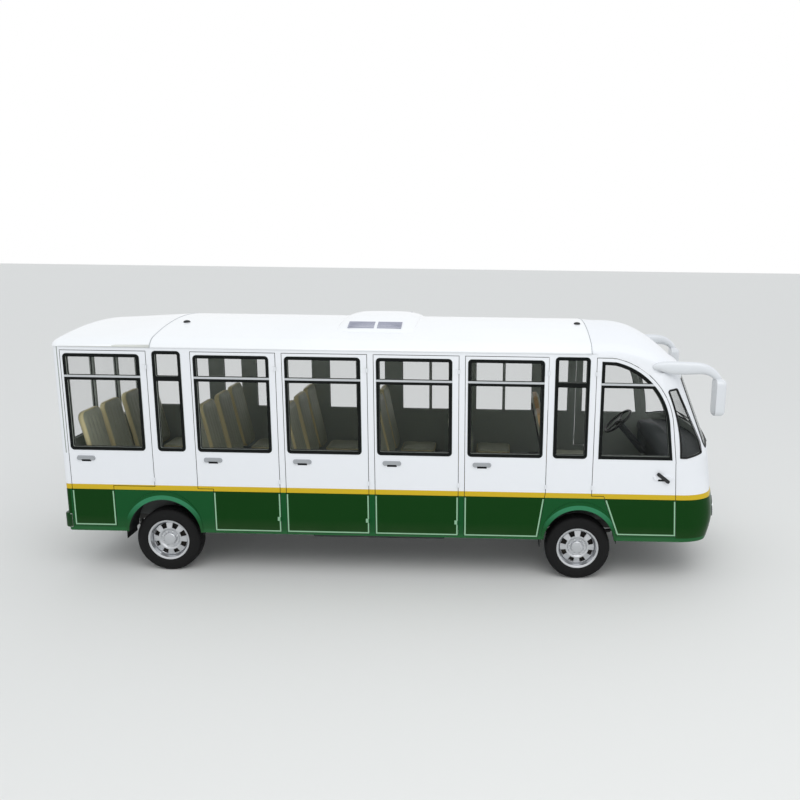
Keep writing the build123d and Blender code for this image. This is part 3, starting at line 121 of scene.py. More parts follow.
def new_material(name, **surface):
    """A material with one Principled shader, whose inputs are given by name."""
    material = bpy.data.materials.new(name)
    material.use_nodes = True
    shader = material.node_tree.nodes["Principled BSDF"]
    for key, value in surface.items():
        shader.inputs[key.replace("_", " ")].default_value = value
    return material, shader


def join(material, output, socket):
    material.node_tree.links.new(output, socket)


def grain(material, shader, size, height, detail=2.0):
    """A fine bump from noise, with the size of one grain and its height in metres."""
    place = add_node(material, "TexCoord")
    noise = add_node(material, "TexNoise",
                     inputs={"Vector": place.outputs["Object"], "Scale": 1 / size, "Detail": detail})
    bump = add_node(material, "Bump",
                    inputs={"Height": noise.outputs[0], "Distance": height, "Strength": 1.0})
    join(material, bump.outputs[0], shader.inputs["Normal"])


def plain_finish(name, size, height, **surface):
    """A finish of one colour with a fine grain."""
    material, shader = new_material(name, **surface)
    grain(material, shader, size, height)
    return material


# %% [markdown]
# ## Coach paint in bands
# The body is sheet steel sprayed with two-pack enamel: white above, a yellow line, and deep green
# below. Paint shows as a clear gloss over a flat colour with a faint orange-peel ripple. The bands
# depend only on height, so a colour ramp on the object's Z paints walls, doors and nose alike and
# they always line up. What stands out of the skin is told apart by its distance from the middle:
# black window frames, pale strips round the doors whose pale green is a painted highlight of their
# lit edges, and lips over the wheels with a painted highlight that grows towards their tops. What
# lies deeper than the skin, in shut lines and other recesses, is painted near-black as painted
# shade. The inner faces point the other way, and get the mid-grey panels that line the cabin.

# %% Banded paint
WHITE, YELLOW, GREEN, ROCKER = "#ECEEF1", "#D0B02A", "#083A0B", "#1A5C30"
# STRIP_HIGHLIGHT is a painted highlight: the pale green on the strips round the doors stands for light on
# their edges.
STRIP_HIGHLIGHT, LIP_HIGHLIGHT, WALL_GREEN = "#93BD9B", "#36805A", "#125026"
FRAME_BLACK, HANDLE_GREY, ALUMINIUM, LINING = "#101312", "#A4A7AA", "#C2C5C7", "#989E97"
ROCKER_HIGH, STRIPE_LOW, STRIPE_HIGH, SILL_Z = 0.474, 0.866, 0.922, 1.262
TRANSOM_LOW, TRANSOM_HIGH = 1.998, 2.020
RAMP_TOP, HANDLE_Z = 2.6, 1.13
SKIN = 0.980                                 # outer face of the walls from the middle
STRIP_STEP, FRAME_STEP = 1.2 * MM, 2.4 * MM  # a strip stands out this far, a window frame so much more
LIP_STEP, GROOVE = 4.5 * MM, 2 * MM          # arch lips and hinge barrels stand out, shut lines are sunk
# Painted highlight: the lips over the wheels are wall green that lightens towards their tops, standing for
# light falling on them.
ARCHES = [(0, 0.405, 0.395), (-4.120, 0.412, 0.410)]     # station, height, outer reach of a bright lip
LIP_HIGHLIGHT_FADE = (0.55, 0.74)                      # a lip brightens between these heights
DUST_TOP, DUST_FULL, DUST_MOST = 0.60, 0.42, 0.12
# RECESS_SHADE is painted shade: faces sunk deeper than the skin, in shut lines and recesses, are painted
# near-black.
RECESS_SHADE, ROAD_DUST = "#1D1F20", "#8B8474"


def height_ramp(material, height, stops):
    """A ramp with hard steps: each stop is a height in metres and the colour above it."""
    scaled = add_node(material, "Math", {"operation": "DIVIDE"}, {0: height, 1: RAMP_TOP})
    ramp = add_node(material, "ValToRGB", inputs={"Fac": scaled.outputs[0]})
    ramp.color_ramp.interpolation = "CONSTANT"
    points = ramp.color_ramp.elements
    while len(points) < len(stops):
        points.new(1.0)
    for point, (z, colour) in zip(points, stops):
        point.position = z / RAMP_TOP
        point.color = linear(colour)
    return ramp.outputs["Color"]


def raised_trim(material, x, y, z, paint, strip, transom):
    """Colours what stands out of the skin, or is sunk into it, over the bands of paint, with painted
    highlights on strips and lips and painted shade in what is sunk.
    """
    across = add_node(material, "Math", {"operation": "ABSOLUTE"}, {0: y}).outputs[0]
    # The pale strip colour at the foot of this ramp is a painted highlight on the door edge strips.
    raised_stops = [(0, strip), (STRIPE_LOW, WHITE), (HANDLE_Z, HANDLE_GREY), (SILL_Z, FRAME_BLACK)]
    if transom:
        raised_stops += [(TRANSOM_LOW, ALUMINIUM), (TRANSOM_HIGH, FRAME_BLACK)]
    raised = height_ramp(material, z, raised_stops)
    high_up = add_node(material, "Math", {"operation": "GREATER_THAN"}, {0: z, 1: SILL_Z})
    low_down = add_node(material, "Math", {"operation": "LESS_THAN"}, {0: z, 1: STRIPE_LOW})
    step = add_node(material, "Math", {"operation": "MULTIPLY_ADD"},
                    {0: high_up.outputs[0], 1: FRAME_STEP, 2: SKIN + STRIP_STEP})
    stands_out = add_node(material, "Math", {"operation": "GREATER_THAN"}, {0: across, 1: step.outputs[0]})
    with_trim = add_node(material, "Mix", {"data_type": "RGBA"},
                         {"Factor": stands_out.outputs[0], "A": paint, "B": raised})
    far_out = add_node(material, "Math", {"operation": "GREATER_THAN"}, {0: across, 1: SKIN + LIP_STEP})
    barrel = add_node(material, "Math", {"operation": "MULTIPLY"},
                      {0: far_out.outputs[0], 1: high_up.outputs[0]})
    with_barrels = add_node(material, "Mix", {"data_type": "RGBA"},
                            {"Factor": barrel.outputs[0], "A": with_trim.outputs["Result"],
                             "B": linear(WHITE)})
    near_arch = None
    flat = add_node(material, "CombineXYZ", inputs={"X": x, "Z": z})
    for station, height, reach in ARCHES:
        gap = add_node(material, "VectorMath", {"operation": "DISTANCE"},
                       {0: flat.outputs[0], 1: (front_axle + station, 0, height)})
        close = add_node(material, "Math", {"operation": "LESS_THAN"}, {0: gap.outputs["Value"], 1: reach})
        if near_arch:
            close = add_node(material, "Math", {"operation": "ADD"},
                             {0: near_arch.outputs[0], 1: close.outputs[0]})
        near_arch = close
    # Painted highlight on the arch lips: wall green lightening to LIP_HIGHLIGHT with height.
    rise = add_node(material, "MapRange",
                    inputs={"Value": z, "From Min": LIP_HIGHLIGHT_FADE[0], "From Max": LIP_HIGHLIGHT_FADE[1]})
    lit_crest = add_node(material, "Mix", {"data_type": "RGBA"},
                     {"Factor": rise.outputs[0], "A": linear(WALL_GREEN), "B": linear(LIP_HIGHLIGHT)})
    lip_colour = add_node(material, "Mix", {"data_type": "RGBA"},
                          {"Factor": near_arch.outputs[0], "A": linear(WALL_GREEN),
                           "B": lit_crest.outputs["Result"]})
    lip = add_node(material, "Math", {"operation": "MULTIPLY"},
                   {0: far_out.outputs[0], 1: low_down.outputs[0]})
    with_lips = add_node(material, "Mix", {"data_type": "RGBA"},
                         {"Factor": lip.outputs[0], "A": with_barrels.outputs["Result"],
                          "B": lip_colour.outputs["Result"]})
    # Painted shade: what lies deeper than the skin is painted near-black.
    sunk = add_node(material, "Math", {"operation": "LESS_THAN"}, {0: across, 1: SKIN - GROOVE})
    return add_node(material, "Mix", {"data_type": "RGBA"},
                    {"Factor": sunk.outputs[0], "A": with_lips.outputs["Result"], "B": linear(RECESS_SHADE)})


def banded_paint(name, weights, centre, trim=True, transom=False, low=GREEN, strip=STRIP_HIGHLIGHT):
    """Paint on one face of a shell, with lining on the other. Weights say which way out is."""
    material, shader = new_material(name, Specular_IOR_Level=0.08, Coat_Weight=0.05, Coat_Roughness=0.04)
    place = add_node(material, "TexCoord")
    axes = add_node(material, "SeparateXYZ", inputs={0: place.outputs["Object"]})
    x, y, z = axes.outputs
    bands = [(0, ROCKER), (ROCKER_HIGH, low), (STRIPE_LOW, YELLOW), (STRIPE_HIGH, WHITE)]
    paint = height_ramp(material, z, bands)
    skin = raised_trim(material, x, y, z, paint, strip, transom).outputs["Result"] if trim else paint
    outward = add_node(material, "VectorMath", {"operation": "MULTIPLY_ADD"},
                       {0: place.outputs["Object"], 1: weights, 2: [-w * c for w, c in zip(weights, centre)]})
    facing = add_node(material, "VectorMath", {"operation": "DOT_PRODUCT"},
                      {0: outward.outputs[0], 1: place.outputs["Normal"]})
    above = add_node(material, "Math", {"operation": "GREATER_THAN"}, {0: z, 1: SILL_Z - 0.02})
    limit = add_node(material, "Math", {"operation": "MULTIPLY_ADD"}, {0: above.outputs[0], 1: 0.6, 2: -0.3})
    outside = add_node(material, "Math", {"operation": "GREATER_THAN"},
                       {0: facing.outputs["Value"], 1: limit.outputs[0]})
    both = add_node(material, "Mix", {"data_type": "RGBA"},
                    {"Factor": outside.outputs[0], "A": linear(LINING), "B": skin})
    dust = add_node(material, "TexNoise",
                    inputs={"Vector": place.outputs["Object"], "Scale": 3.0, "Detail": 6.0})
    dusty_part = add_node(material, "MapRange", inputs={"Value": z, "From Min": DUST_TOP,
                                                        "From Max": DUST_FULL, "To Max": DUST_MOST})
    amount = add_node(material, "Math", {"operation": "MULTIPLY"},
                      {0: dust.outputs[0], 1: dusty_part.outputs[0]})
    dusty = add_node(material, "Mix", {"data_type": "RGBA"},
                     {"Factor": amount.outputs[0], "A": both.outputs["Result"], "B": linear(ROAD_DUST)})
    join(material, dusty.outputs["Result"], shader.inputs["Base Color"])
    rough = add_node(material, "MapRange",
                     inputs={"Value": outside.outputs[0], "To Min": 0.75, "To Max": 0.28})
    join(material, rough.outputs[0], shader.inputs["Roughness"])
    ripple = add_node(material, "TexNoise",
                      inputs={"Vector": place.outputs["Object"], "Scale": 260, "Detail": 1})
    bump = add_node(material, "Bump", inputs={"Height": ripple.outputs[0], "Distance": 0.08 * MM})
    join(material, bump.outputs[0], shader.inputs["Normal"])
    return material


CABIN_MIDDLE = (front_axle - 0.65, 0, 1.2)
wall_paint = banded_paint("wall_paint", (0, 1, 0), (0, 0, 0), low=WALL_GREEN, strip=WALL_GREEN)
door_paint = banded_paint("door_paint", (0, 1, 0), (0, 0, 0), transom=True)
nose_paint = banded_paint("nose_paint", (1, 1, 1), CABIN_MIDDLE, trim=False)
rear_paint = banded_paint("rear_paint", (1, 0.3, 0), (0, 0, 0), trim=False)
bumper_paint = banded_paint("bumper_paint", (1, 0.3, 0), (0, 0, 0), trim=False, low="#123A18")
print("banded paints made")

# %% [markdown]
# ## Moulded roof, glass and rubber
# The roof is glass-fibre moulding in white gelcoat, a little brighter and softer than the paint.
# Its inner face is a pale headliner. Window glass is a clear pane with a green-grey tint: seen
# square on it lets most light through, and at a slant it turns to a mirror, so its opacity rises
# with the fifth power of the slant, as it does in glass. Seals are black extruded rubber with a
# dull sheen.

# %% Roof, glass and rubber finishes
def shell_finish(name, outer, inner, roughness):
    """Gelcoat outside, headliner inside."""
    material, shader = new_material(name, Roughness=roughness, Coat_Weight=0.4, Coat_Roughness=0.12)
    place = add_node(material, "TexCoord")
    outward = add_node(material, "VectorMath", {"operation": "SUBTRACT"},
                       {0: place.outputs["Object"], 1: (0, 0, 1.2)})
    facing = add_node(material, "VectorMath", {"operation": "DOT_PRODUCT"},
                      {0: outward.outputs[0], 1: place.outputs["Normal"]})
    outside = add_node(material, "Math", {"operation": "GREATER_THAN"}, {0: facing.outputs["Value"], 1: 0.0})
    chalk = add_node(material, "TexNoise",
                     inputs={"Vector": place.outputs["Object"], "Scale": 1.6, "Detail": 5})
    weather = add_node(material, "MapRange", inputs={"Value": chalk.outputs[0], "From Min": 0.35,
                                                     "From Max": 0.8, "To Max": 0.12})
    aged = add_node(material, "Mix", {"data_type": "RGBA"},
                    {"Factor": weather.outputs[0], "A": linear(outer), "B": linear("#D4D8DA")})
    colour = add_node(material, "Mix", {"data_type": "RGBA"},
                      {"Factor": outside.outputs[0], "A": linear(inner), "B": aged.outputs["Result"]})
    join(material, colour.outputs["Result"], shader.inputs["Base Color"])
    return material


def glass_finish(name, tint, clear):
    """Thin glass: mostly see-through head on, reflecting at a slant."""
    material, shader = new_material(name, Base_Color=linear(tint), Roughness=0.03, IOR=1.5)
    slant = add_node(material, "LayerWeight", inputs={"Blend": 0.5})
    steep = add_node(material, "Math", {"operation": "POWER"}, {0: slant.outputs["Facing"], 1: 5.0})
    opacity = add_node(material, "MapRange",
                       inputs={"Value": steep.outputs[0], "To Min": clear, "To Max": 0.9})
    join(material, opacity.outputs[0], shader.inputs["Alpha"])
    return material


roof_gelcoat = shell_finish("roof_gelcoat", "#F2F4F5", "#D2D4CE", 0.32)
window_glass = glass_finish("window_glass", "#4A504C", 0.04)
screen_glass = glass_finish("windscreen_glass", "#46524E", 0.06)
rubber = plain_finish("seal_rubber", 1.2 * MM, 0.05 * MM, Base_Color=linear("#0B0C0C"), Roughness=0.5,
                      Specular_IOR_Level=0.3)
tread_rubber = plain_finish("tyre_rubber", 3 * MM, 0.15 * MM, Base_Color=linear("#0D0D0E"), Roughness=0.7,
                            Specular_IOR_Level=0.25)
print("roof, glass and rubber finishes made")

# %% [markdown]
# ## Metals and plastics
# The wheels are pressed steel with silver paint, whose fine metal flake is drawn coarser than it
# is so that it shows. Axles are rough black castings, and the frame has satin chassis paint with
# a little road dust. Inside there are moulded plastics with a leather-like grain, and a floor of
# ribbed rubber matting.

# %% Metal and plastic finishes
silver = plain_finish("wheel_silver", 1.5 * MM, 0.03 * MM, Base_Color=linear("#C9CBCE"), Metallic=0.75,
                      Roughness=0.34)
chrome = plain_finish("bright_chrome", 4 * MM, 0.004 * MM, Base_Color=linear("#D8DADC"), Metallic=1.0,
                      Roughness=0.1)


def dusty_finish(name, colour, dust, size, height, **surface):
    """A flat finish with patches of dust and a fine grain."""
    material, shader = new_material(name, **surface)
    grain(material, shader, size, height)
    place = add_node(material, "TexCoord")
    patches = add_node(material, "TexNoise",
                       inputs={"Vector": place.outputs["Object"], "Scale": 5, "Detail": 7})
    spread = add_node(material, "MapRange", inputs={"Value": patches.outputs[0], "From Min": 0.45,
                                                    "From Max": 0.75, "To Max": 0.5})
    mixed = add_node(material, "Mix", {"data_type": "RGBA"},
                     {"Factor": spread.outputs[0], "A": linear(colour), "B": linear(dust)})
    join(material, mixed.outputs["Result"], shader.inputs["Base Color"])
    return material


chassis_paint = dusty_finish("chassis_paint", "#141515", "#4A463D", 3 * MM, 0.1 * MM, Roughness=0.55)
cast_iron = dusty_finish("rough_casting", "#1C1B1A", "#4E4438", 4 * MM, 0.5 * MM, Roughness=0.7, Metallic=0.3)
battery_case = dusty_finish("battery_case", "#34373A", "#5A564C", 5 * MM, 0.1 * MM, Roughness=0.5)
trim_plastic = dusty_finish("trim_plastic", "#17191A", "#222425", 1.2 * MM, 0.08 * MM, Roughness=0.55)
dash_plastic = dusty_finish("dash_plastic", "#383C3E", "#44484A", 2.5 * MM, 0.2 * MM, Roughness=0.6)
grip_plastic = dusty_finish("grip_plastic", "#121313", "#1B1C1C", 2 * MM, 0.15 * MM, Roughness=0.45)
mirror_shell = plain_finish("mirror_shell", 3 * MM, 0.02 * MM, Base_Color=linear("#D9DCDF"),
                            Roughness=0.22, Coat_Weight=0.4, Coat_Roughness=0.05)
mirror_silver = new_material("mirror_silver", Base_Color=linear("#E4E8EA"), Metallic=1.0, Roughness=0.03)[0]

mat_rubber, shader = new_material("floor_mat", Base_Color=linear("#6C6F6D"), Roughness=0.65)
place = add_node(mat_rubber, "TexCoord")
ribs = add_node(mat_rubber, "TexWave", {"bands_direction": "Y"},
                {"Vector": place.outputs["Object"], "Scale": 12.5, "Distortion": 0})
bump = add_node(mat_rubber, "Bump", inputs={"Height": ribs.outputs[0], "Distance": 2 * MM, "Strength": 0.8})
join(mat_rubber, bump.outputs[0], shader.inputs["Normal"])

# A tail lamp is red, amber, clear and red again from its foot up.
LENS_FIELDS = [(0, "#8E0F12"), (0.985, "#D9781A"), (1.055, "#D5D8DA"), (1.115, "#8E0F12")]
tail_lens, shader = new_material("tail_lens", Roughness=0.12, Coat_Weight=0.8)
up = add_node(tail_lens, "SeparateXYZ", inputs={0: add_node(tail_lens, "TexCoord").outputs["Object"]})
join(tail_lens, height_ramp(tail_lens, up.outputs[2], LENS_FIELDS), shader.inputs["Base Color"])
grain(tail_lens, shader, 6 * MM, 0.6 * MM, detail=0)
lamp_lens, shader = new_material("lamp_lens", Base_Color=linear("#C4CBD0"), Roughness=0.08, Coat_Weight=1.0)
flutes = add_node(lamp_lens, "TexWave", {"bands_direction": "Y"},
                  {"Vector": add_node(lamp_lens, "TexCoord").outputs["Object"], "Scale": 16})
bump = add_node(lamp_lens, "Bump", inputs={"Height": flutes.outputs[0], "Distance": 2 * MM})
join(lamp_lens, bump.outputs[0], shader.inputs["Normal"])
print("metal and plastic finishes made")

# %% [markdown]
# ## Dress the carried-over nodes
# A node whose shape is right keeps its mesh and only changes its material. The curved skins come in
# as loose triangles, so those that show get a merged copy with smooth shading, which rides on the
# same body and stands in for the node. Two of these copies are also reshaped: the lower nose, which
# carries the headlamps and the grille forward with it, is made fuller than its solid, and the roof's
# rear cap falls to its corners in a straighter line. Moving the points of the copy by a smooth
# formula keeps the skin in one piece, so that no joint opens where the new form starts.

# %% Assign finishes to nodes
finishes = {
    "side_wall_right": wall_paint, "side_wall_left": wall_paint, "rear_wall": rear_paint,
    "rear_bumper": bumper_paint, "roof_panel": roof_gelcoat, "roof_rear_cap": roof_gelcoat,
    "roof_pod": roof_gelcoat, "front_panel": nose_paint, "fixed_glass": window_glass,
    "windscreen": screen_glass, "mirrors": mirror_shell, "mirror_glass": mirror_silver,
    "grille": trim_plastic, "wipers": trim_plastic, "headlamps": lamp_lens, "tail_lamps": tail_lens,
    "dashboard": dash_plastic, "steering_wheel": grip_plastic, "floor": mat_rubber,
    "wheel_boxes": mat_rubber, "outriggers": chassis_paint,
    "seat_frames": chassis_paint, "chassis_frame": chassis_paint, "front_axle": chassis_paint,
    "rear_axle": cast_iron, "springs": chassis_paint, "battery_box": battery_case,
    "knuckle_left": cast_iron, "knuckle_right": cast_iron,
}
CORNERS = ["front_right", "front_left", "rear_right", "rear_left"]
for name in nodes:
    if name.startswith("door_"):
        finishes[name] = door_paint
    if name.startswith("glass_"):
        finishes[name] = window_glass
for corner in CORNERS:
    finishes["wheel_" + corner] = silver
    finishes["tyre_" + corner] = tread_rubber

body_of = {node: body for body, members in frame["record"]["behaviour"]["bodies"].items() for node in members}


def set_smooth(mesh, angle=32):
    mesh.polygons.foreach_set("use_smooth", [True] * len(mesh.polygons))
    mesh.set_sharp_from_angle(angle=radians(angle))


def place_piece(name, bm, material, body, angle=32):
    """Turns a finished bmesh into a piece that rides on a body."""
    mesh = bpy.data.meshes.new(name)
    bm.to_mesh(mesh)
    bm.free()
    mesh.materials.clear()
    mesh.materials.append(material)
    set_smooth(mesh, angle)
    piece = bpy.data.objects.new(name, mesh)
    scene.collection.objects.link(piece)
    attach(piece, body)
    return piece


def merged(node):
    """A bmesh of a node with its loose triangles joined."""
    bm = bmesh.new()
    bm.from_mesh(nodes[node].data)
    bmesh.ops.remove_doubles(bm, verts=bm.verts, dist=0.02 * MM)
    return bm


for name, finish in finishes.items():
    nodes[name].data.materials.clear()
    nodes[name].data.materials.append(finish)
print("finishes on", len(finishes), "nodes")

# %% Smooth and reshape the curved skins
NOSE_TOP, NOSE_FADE = 1.20, 0.62             # the nose fills out below this height, over this much
NOSE_START, NOSE_RUN = 0.98, 0.32            # it starts this far ahead of the axle, over this much
NOSE_FILL, NOSE_WIDEN = 0.088, 0.026         # forward in metres, and sideways as a share
CHEEK_END, CHEEK_FADE = 1.5, 0.8             # in runs: the widening dies out towards the front
CAP_START, CAP_RUN, CAP_FALL = 4.40, 0.62, 0.36   # behind the axle, and the share of height lost
GUTTER_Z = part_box("roof_rear_cap")[0].z + 0.03


def smooth_step(t):
    """Rises from 0 to 1 without a corner."""
    t = min(1, max(0, t))
    return t * t * (3 - 2 * t)


def fill_nose(co):
    """The lower nose is a little fuller and squarer than its solid."""
    low = smooth_step((NOSE_TOP - co.z) / NOSE_FADE)
    ahead = (co.x - front_axle - NOSE_START) / NOSE_RUN
    co.x += NOSE_FILL * low * smooth_step(ahead)
    if 0 < ahead < CHEEK_END:
        co.y *= 1 + NOSE_WIDEN * low * smooth_step(ahead) * smooth_step((CHEEK_END - ahead) / CHEEK_FADE)


def flatten_cap(co):
    """The roof falls to the rear corners in a straighter line than its solid."""
    back = smooth_step((front_axle - CAP_START - co.x) / CAP_RUN)
    if co.z > GUTTER_Z:
        co.z = GUTTER_Z + (co.z - GUTTER_Z) * (1 - CAP_FALL * back)


RESHAPED = {"front_panel": fill_nose, "headlamps": fill_nose, "grille": fill_nose,
            "roof_rear_cap": flatten_cap}
SMOOTH_NODES = ["front_panel", "windscreen", "roof_panel", "roof_rear_cap", "grille",
                "steering_wheel", "dashboard", "rear_bumper", "rear_axle", "headlamps", "tail_lamps"]
for name in SMOOTH_NODES:
    bm = merged(name)
    if name in RESHAPED:
        for vertex in bm.verts:
            RESHAPED[name](vertex.co)
    skin = place_piece(name + "_skin", bm, finishes[name], body_of[name])
    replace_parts(skin, name)
print(len(SMOOTH_NODES), "skins smoothed,", len(RESHAPED), "of them reshaped")

# %% [markdown]
# ## Floor and light
# A plain pale floor and an even sky stand in for the yard. The world lights the bus from all sides
# at a level where a colour renders about as it is written, and a wide soft lamp high on the near
# side gives the paint its highlights. Seen by the camera, through glass or in a reflection, the
# world is simply white.

# %% Stage
bm = bmesh.new()
bmesh.ops.create_grid(bm, x_segments=1, y_segments=1, size=60)
ground_mesh = bpy.data.meshes.new("ground")
bm.to_mesh(ground_mesh)
bm.free()
ground = bpy.data.objects.new("ground", ground_mesh)
scene.collection.objects.link(ground)
ground_mesh.materials.append(plain_finish("pale_floor", 30 * MM, 0.4 * MM, Base_Color=linear("#E4E4E1"),
                                          Roughness=0.85))

world = bpy.data.worlds.new("studio")
scene.world = world
world.use_nodes = True
tree = world.node_tree
tree.nodes.clear()
path = tree.nodes.new("ShaderNodeLightPath")
sky = tree.nodes.new("ShaderNodeBackground")
sky.inputs["Color"].default_value = linear("#F4F7FB")
sky.inputs["Strength"].default_value = 0.95
backdrop = tree.nodes.new("ShaderNodeBackground")
backdrop.inputs["Color"].default_value = (1, 1, 1, 1)
choice = tree.nodes.new("ShaderNodeMixShader")
seen = tree.nodes.new("ShaderNodeMath")
seen.operation = "MAXIMUM"
tree.links.new(path.outputs["Is Camera Ray"], seen.inputs[0])
tree.links.new(path.outputs["Is Transmission Ray"], seen.inputs[1])
mirrored = tree.nodes.new("ShaderNodeMath")
mirrored.operation = "MAXIMUM"
tree.links.new(seen.outputs[0], mirrored.inputs[0])
tree.links.new(path.outputs["Is Glossy Ray"], mirrored.inputs[1])
tree.links.new(mirrored.outputs[0], choice.inputs["Fac"])
tree.links.new(sky.outputs[0], choice.inputs[1])
tree.links.new(backdrop.outputs[0], choice.inputs[2])
tree.links.new(choice.outputs[0], tree.nodes.new("ShaderNodeOutputWorld").inputs["Surface"])

soft = bpy.data.lights.new("soft_box", "AREA")
soft.shape = "RECTANGLE"
soft.size, soft.size_y = 9.0, 5.0
soft.energy = 260
lamp = bpy.data.objects.new("soft_box", soft)
lamp.location = (2.5, -7.0, 8.5)
lamp.rotation_euler = (Vector((0, 0, 1.0)) - lamp.location).to_track_quat("-Z", "Y").to_euler()
scene.collection.objects.link(lamp)
scene.view_settings.view_transform = "Standard"
print("stage set")

# %% [markdown]
# ## Padded seats
# Each seat is foam under olive leatherette, with a crowned cushion and a tall back whose front is
# sewn in upright channels. Foam shapes are hard to draw but easy to inflate: a slightly small
# block is remeshed into even squares, given Blender's cloth with some pressure inside, and stopped
# after twenty frames. A cap on how far a point may move keeps the pad inside its solid. We do it
# once for a cushion and once for a back, press the seams in, and copy the result to every seat.

# %% Seat upholstery
RECLINE = radians(12)
# Painted highlight: the seats ahead of this get a browner colour on their sides, which stand for lit faces.
DRIVER_X = front_axle - 0.75                 # seats ahead of this are trimmed in brown
RIM_SHARE = 0.28                             # a pad's rim is rounded by this share of its thickness
CLOTH_FRAMES = 20


def upholstery(name, thickness):
    """Grey-green panels front and back; the paler sides of a pad are a painted highlight of light falling on
    them.
    """
    material, shader = new_material(name, Roughness=0.5, Sheen_Weight=0.15)
    place = add_node(material, "TexCoord")
    tone = add_node(material, "TexNoise",
                    inputs={"Vector": place.outputs["Object"], "Scale": 4, "Detail": 4})
    panel = add_node(material, "Mix", {"data_type": "RGBA"},
                     {"Factor": tone.outputs[0], "A": linear("#8C907E"), "B": linear("#A3A591")})
    ahead = add_node(material, "SeparateXYZ", inputs={0: place.outputs["Object"]})
    driver = add_node(material, "Math", {"operation": "GREATER_THAN"}, {0: ahead.outputs[0], 1: DRIVER_X})
    # Painted highlight: the sides of a pad, where light falls on them, are paler than its front and back.
    lit_sides = add_node(material, "Mix", {"data_type": "RGBA"},
                      {"Factor": driver.outputs[0], "A": linear("#CFC496"), "B": linear("#BE9C6C")})
    along = add_node(material, "VectorMath", {"operation": "DOT_PRODUCT"},
                     {0: place.outputs["Normal"], 1: thickness})
    flat = add_node(material, "Math", {"operation": "ABSOLUTE"}, {0: along.outputs["Value"]})
    face = add_node(material, "Math", {"operation": "GREATER_THAN"}, {0: flat.outputs[0], 1: 0.6})
    shade = add_node(material, "Mix", {"data_type": "RGBA"},
                     {"Factor": face.outputs[0], "A": lit_sides.outputs["Result"],
                      "B": panel.outputs["Result"]})
    join(material, shade.outputs["Result"], shader.inputs["Base Color"])
    cells = add_node(material, "TexVoronoi", {"feature": "DISTANCE_TO_EDGE"},
                     {"Vector": place.outputs["Object"], "Scale": 500})
    bump = add_node(material, "Bump", inputs={"Height": cells.outputs["Distance"], "Distance": 0.3 * MM})
    join(material, bump.outputs[0], shader.inputs["Normal"])
    return material


cushion_cover = upholstery("cushion_leatherette", (0, 0, 1))
back_cover = upholstery("back_leatherette", (cos(RECLINE), 0, sin(RECLINE)))
piping = plain_finish("beige_piping", 2 * MM, 0.1 * MM, Base_Color=linear("#C9BE93"), Roughness=0.55)


def bevelled(bm, edges, offset, segments):
    """Rounds edges of a bmesh."""
    bmesh.ops.bevel(bm, geom=edges, offset=offset, segments=segments, profile=0.5, affect="EDGES",
                    material=-1)


def inflate(name, size, corner, voxel, pressure, cap):
    """Blows up a rounded block and returns it as a bmesh, centred on the origin."""
    bm = bmesh.new()
    bmesh.ops.create_cube(bm, size=1)
    bmesh.ops.scale(bm, vec=size, verts=bm.verts)
    upright = [e for e in bm.edges if abs((e.verts[0].co - e.verts[1].co).z) > 0.5 * size[2]]
    bevelled(bm, upright, corner, 5)
    rim = [e for e in bm.edges
           if abs(e.verts[0].co.z - e.verts[1].co.z) < 1e-6 and len(e.link_faces) == 2]
    bevelled(bm, rim, size[2] * RIM_SHARE, 3)
    mesh = bpy.data.meshes.new(name)
    bm.to_mesh(mesh)
    bm.free()
    pad = bpy.data.objects.new(name, mesh)
    scene.collection.objects.link(pad)
    remesh = pad.modifiers.new("remesh", "REMESH")
    remesh.mode = "VOXEL"
    remesh.voxel_size = voxel
    even = bpy.data.meshes.new_from_object(pad.evaluated_get(bpy.context.evaluated_depsgraph_get()))
    pad.modifiers.clear()
    pad.data = even
    start = [v.co.copy() for v in even.vertices]
    cloth = pad.modifiers.new("cloth", "CLOTH").settings
    cloth.use_pressure = True
    cloth.uniform_pressure_force = pressure
    cloth.effector_weights.gravity = 0
    for frame_number in range(1, CLOTH_FRAMES + 1):
        scene.frame_set(frame_number)
        blown = pad.evaluated_get(bpy.context.evaluated_depsgraph_get())
    moved = [v.co.copy() for v in blown.data.vertices]
    pad.modifiers.clear()
    scene.frame_set(1)
    for vertex, was, now in zip(even.vertices, start, moved):
        step = now - was
        vertex.co = was + step.normalized() * min(step.length, cap)
    result = bmesh.new()
    result.from_mesh(pad.data)
    bpy.data.objects.remove(pad)
    return result


seat_low, seat_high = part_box("seat_cushions")
print("seats span", [round(v, 3) for v in seat_high - seat_low])

# %% Cushion and back, each made once
CUSHION = (0.440, 0.428, 0.095)              # length, width and thickness of the solids
BACK = (0.780, 0.428, 0.085)                 # height, width and thickness
SWELL = 0.014
CHANNELS = (-0.105, -0.035, 0.035, 0.105)    # seams across the seat, from its middle
SEAM_DEPTH, SEAM_HALF = 9 * MM, 11 * MM
CUSHION_CORNER, BACK_CORNER, PRESSURE = 0.045, 0.085, 3.0
CUSHION_REACH, BACK_REACH = 0.17, 0.30       # half the length over which seams are pressed in


def press_seams(bm, reach):
    """Presses straight seams into the upper face, over the inner part of the pad."""
    for v in bm.verts:
        if v.normal.z > 0.3 and abs(v.co.x) < reach:
            nearest = min(abs(v.co.y - y) for y in CHANNELS)
            fade = min(1, (reach - abs(v.co.x)) / 0.03)
            if nearest < 2 * SEAM_HALF:
                v.co.z -= SEAM_DEPTH * fade * max(0, 1 - (nearest / SEAM_HALF / 2) ** 1.2)


